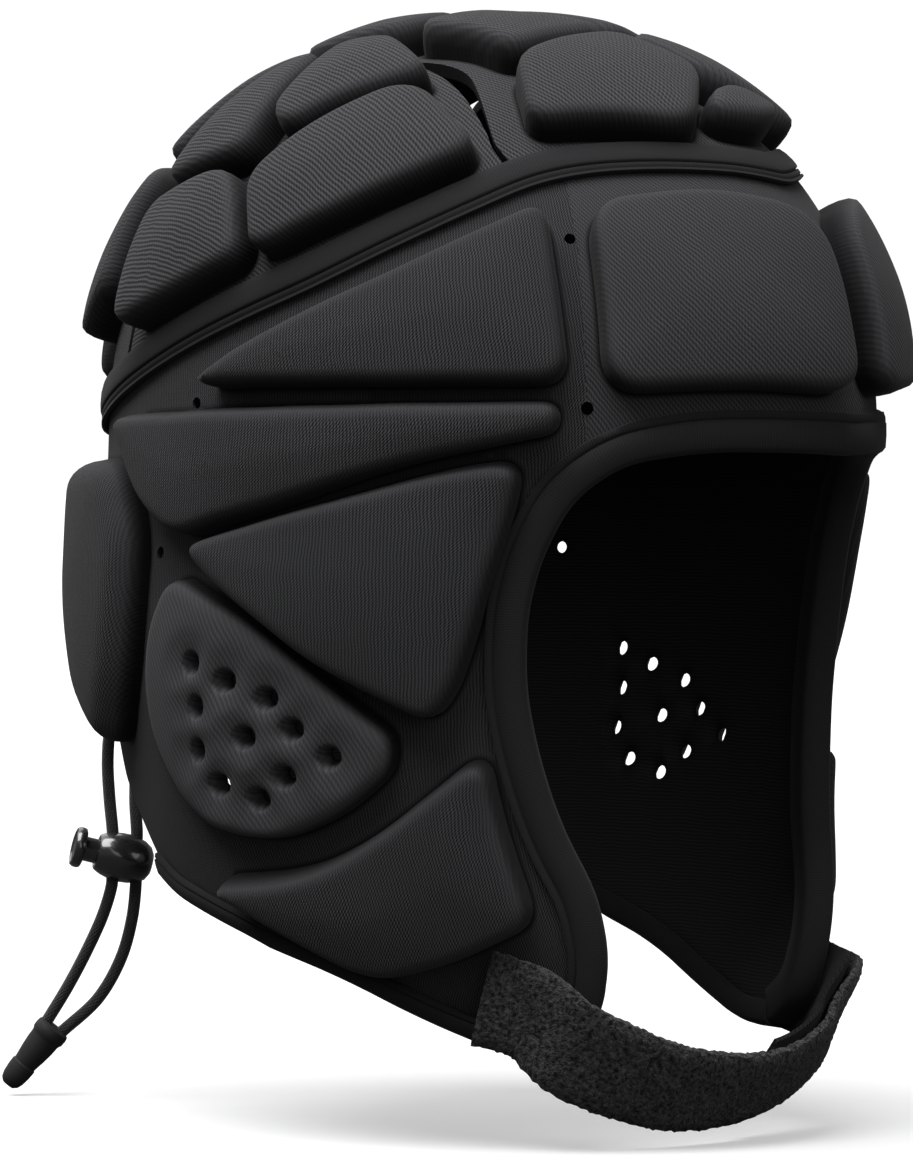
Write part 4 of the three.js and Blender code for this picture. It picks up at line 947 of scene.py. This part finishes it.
def turned_piece(name, node, profile, at, out, body="cap", sides=56):
    """A part turned on a lathe: a profile of reach and height, set at a place along a direction."""
    spin = Vector((0, 0, 1)).rotation_difference(out).to_matrix()
    points, faces = [], []
    angle = np.arange(sides) * 2 * np.pi / sides
    for reach, height in profile:
        for a in angle:
            points.append(at + spin @ Vector((reach * math.cos(a), reach * math.sin(a), height)))
    for i in range(len(profile) - 1):
        faces += [(i * sides + j, i * sides + (j + 1) % sides, (i + 1) * sides + (j + 1) % sides,
                   (i + 1) * sides + j) for j in range(sides)]
    piece = new_piece(name, [tuple(p) for p in points], faces, body=body, crease=35)
    weld(piece)
    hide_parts(node)
    return piece


barrel_profile = [(0, -7), (2.6, -6.75), (4.1, -5.9), (5.2, -4.2), (5.8, -2), (6, 0), (5.95, 1.6),
                  (5.7, 3.4), (5.2, 5.2), (4.8, 6.1), (4.5, 6.7), (4.2, 7), (3.5, 7), (3.35, 6.8),
                  (3.35, -1), (0, -1)]
barrel = turned_piece("lock_barrel", "cord_lock_body", barrel_profile, LOCK_AT, lock_out)
plunger_profile = [(0, 2.4), (3, 2.4), (3, 10.35), (4.3, 10.35), (4.8, 10.6), (5, 11.2), (4.95, 12.2),
                   (4.6, 12.8), (4.1, 12.95), (3.6, 12.6), (0, 12.5)]
plunger = turned_piece("lock_plunger", "cord_lock_button", plunger_profile, LOCK_AT, lock_out,
                       body="lock_button")
lock_plastic, tree, shader = new_material("lock_plastic", 0.24, specular=0.9, coat=1.0)
shader.inputs["Base Color"].default_value = (0.014, 0.014, 0.015, 1)
mould = add(tree, "ShaderNodeTexNoise", {"Vector": real_place(tree), "Scale": 300.0, "Detail": 2.0})
rough = add(tree, "ShaderNodeMapRange", {"Value": mould.outputs["Fac"], "To Min": 0.18, "To Max": 0.32})
tree.links.new(rough.outputs[0], shader.inputs["Roughness"])
for piece in (barrel, plunger):
    piece.data.materials.append(lock_plastic)

# The moulded end on both tails: a matt rubber bell that grips them in its collar, with a narrower
# foot below.
ends = [np.array(TAILS[side][-2]) - np.array(TAILS[side][-3]) for side in ("right", "left")]
end_way = Vector(sum(e / np.linalg.norm(e) for e in ends)).normalized()
end_at = Vector((np.array(TAILS["right"][-2]) + np.array(TAILS["left"][-2])) / 2) + end_way * (CORD / 2 + GAP)
end_profile = [(0, -1.6), (3.4, -1.6), (4.15, -1.2), (4.35, -0.3), (4.3, 1.2), (4.0, 1.7), (3.85, 2.2),
               (3.75, 4.5), (3.45, 7), (3.1, 9.3), (2.95, 10.2), (3.25, 10.5), (3.2, 12.5), (2.95, 14.6),
               (2.45, 16), (1.6, 16.8), (0, 17)]
bell = turned_piece("lace_end", "cord_end", end_profile, end_at, end_way)
end_plastic, tree, shader = new_material("end_plastic", 0.7, specular=0.4)
shader.inputs["Base Color"].default_value = (0.016, 0.016, 0.017, 1)
grain = add(tree, "ShaderNodeTexNoise", {"Vector": real_place(tree), "Scale": 1500.0, "Detail": 2.0})
emboss(tree, shader, grain.outputs["Fac"], 0.3, 0.0001)
bell.data.materials.append(end_plastic)

for key in ("loop_right", "loop_left", "tail_right", "tail_left"):
    piece, path = cords[key]

# The white table it stands over, and the daylight: a soft high light from the wearer's right, with
# weaker ones from the front and from behind.
floor_mesh = bpy.data.meshes.new("floor")
TABLE_HALF, TABLE_TOP = 60, -0.249
table_corners = [(x * TABLE_HALF, y * TABLE_HALF, TABLE_TOP) for x, y in ((-1, -1), (1, -1), (1, 1), (-1, 1))]
floor_mesh.from_pydata(table_corners, [], [(0, 1, 2, 3)])
floor = bpy.data.objects.new("floor", floor_mesh)
bpy.context.scene.collection.objects.link(floor)
paper, tree, shader = new_material("paper", 0.9, specular=0.0)
seen = add(tree, "ShaderNodeLightPath").outputs["Is Camera Ray"]
tree.links.new(mixed(tree, seen, (0.06, 0.06, 0.06), (0.62, 0.62, 0.62)), shader.inputs["Base Color"])
tree.links.new(mixed(tree, seen, (0, 0, 0), (0.42, 0.42, 0.42)), shader.inputs["Emission Color"])
shader.inputs["Emission Strength"].default_value = 1.0
floor_mesh.materials.append(paper)

world = bpy.data.worlds.new("daylight")
world.use_nodes = True
seen = add(world.node_tree, "ShaderNodeLightPath")
wall = add(world.node_tree, "ShaderNodeMapRange", {"Value": seen.outputs["Is Camera Ray"], "To Min": 0.13,
                                                   "To Max": 1.05})
world.node_tree.nodes["Background"].inputs["Color"].default_value = (1, 1, 1, 1)
world.node_tree.links.new(wall.outputs[0], world.node_tree.nodes["Background"].inputs["Strength"])
bpy.context.scene.world = world
bpy.context.scene.view_settings.view_transform = "Standard"


def soft_sun(name, azimuth, height, power, spread):
    data = bpy.data.lights.new(name, "SUN")
    data.energy = power
    data.angle = math.radians(spread)
    light = bpy.data.objects.new(name, data)
    a, h = math.radians(azimuth), math.radians(height)
    source = Vector((math.sin(a) * math.cos(h), -math.cos(a) * math.cos(h), math.sin(h)))
    light.rotation_euler = source.to_track_quat("Z", "Y").to_euler()
    bpy.context.scene.collection.objects.link(light)


soft_sun("key", -92, 68, 3.6, 50)
soft_sun("front", -25, 30, 0.7, 60)
soft_sun("back", 165, 42, 0.9, 60)
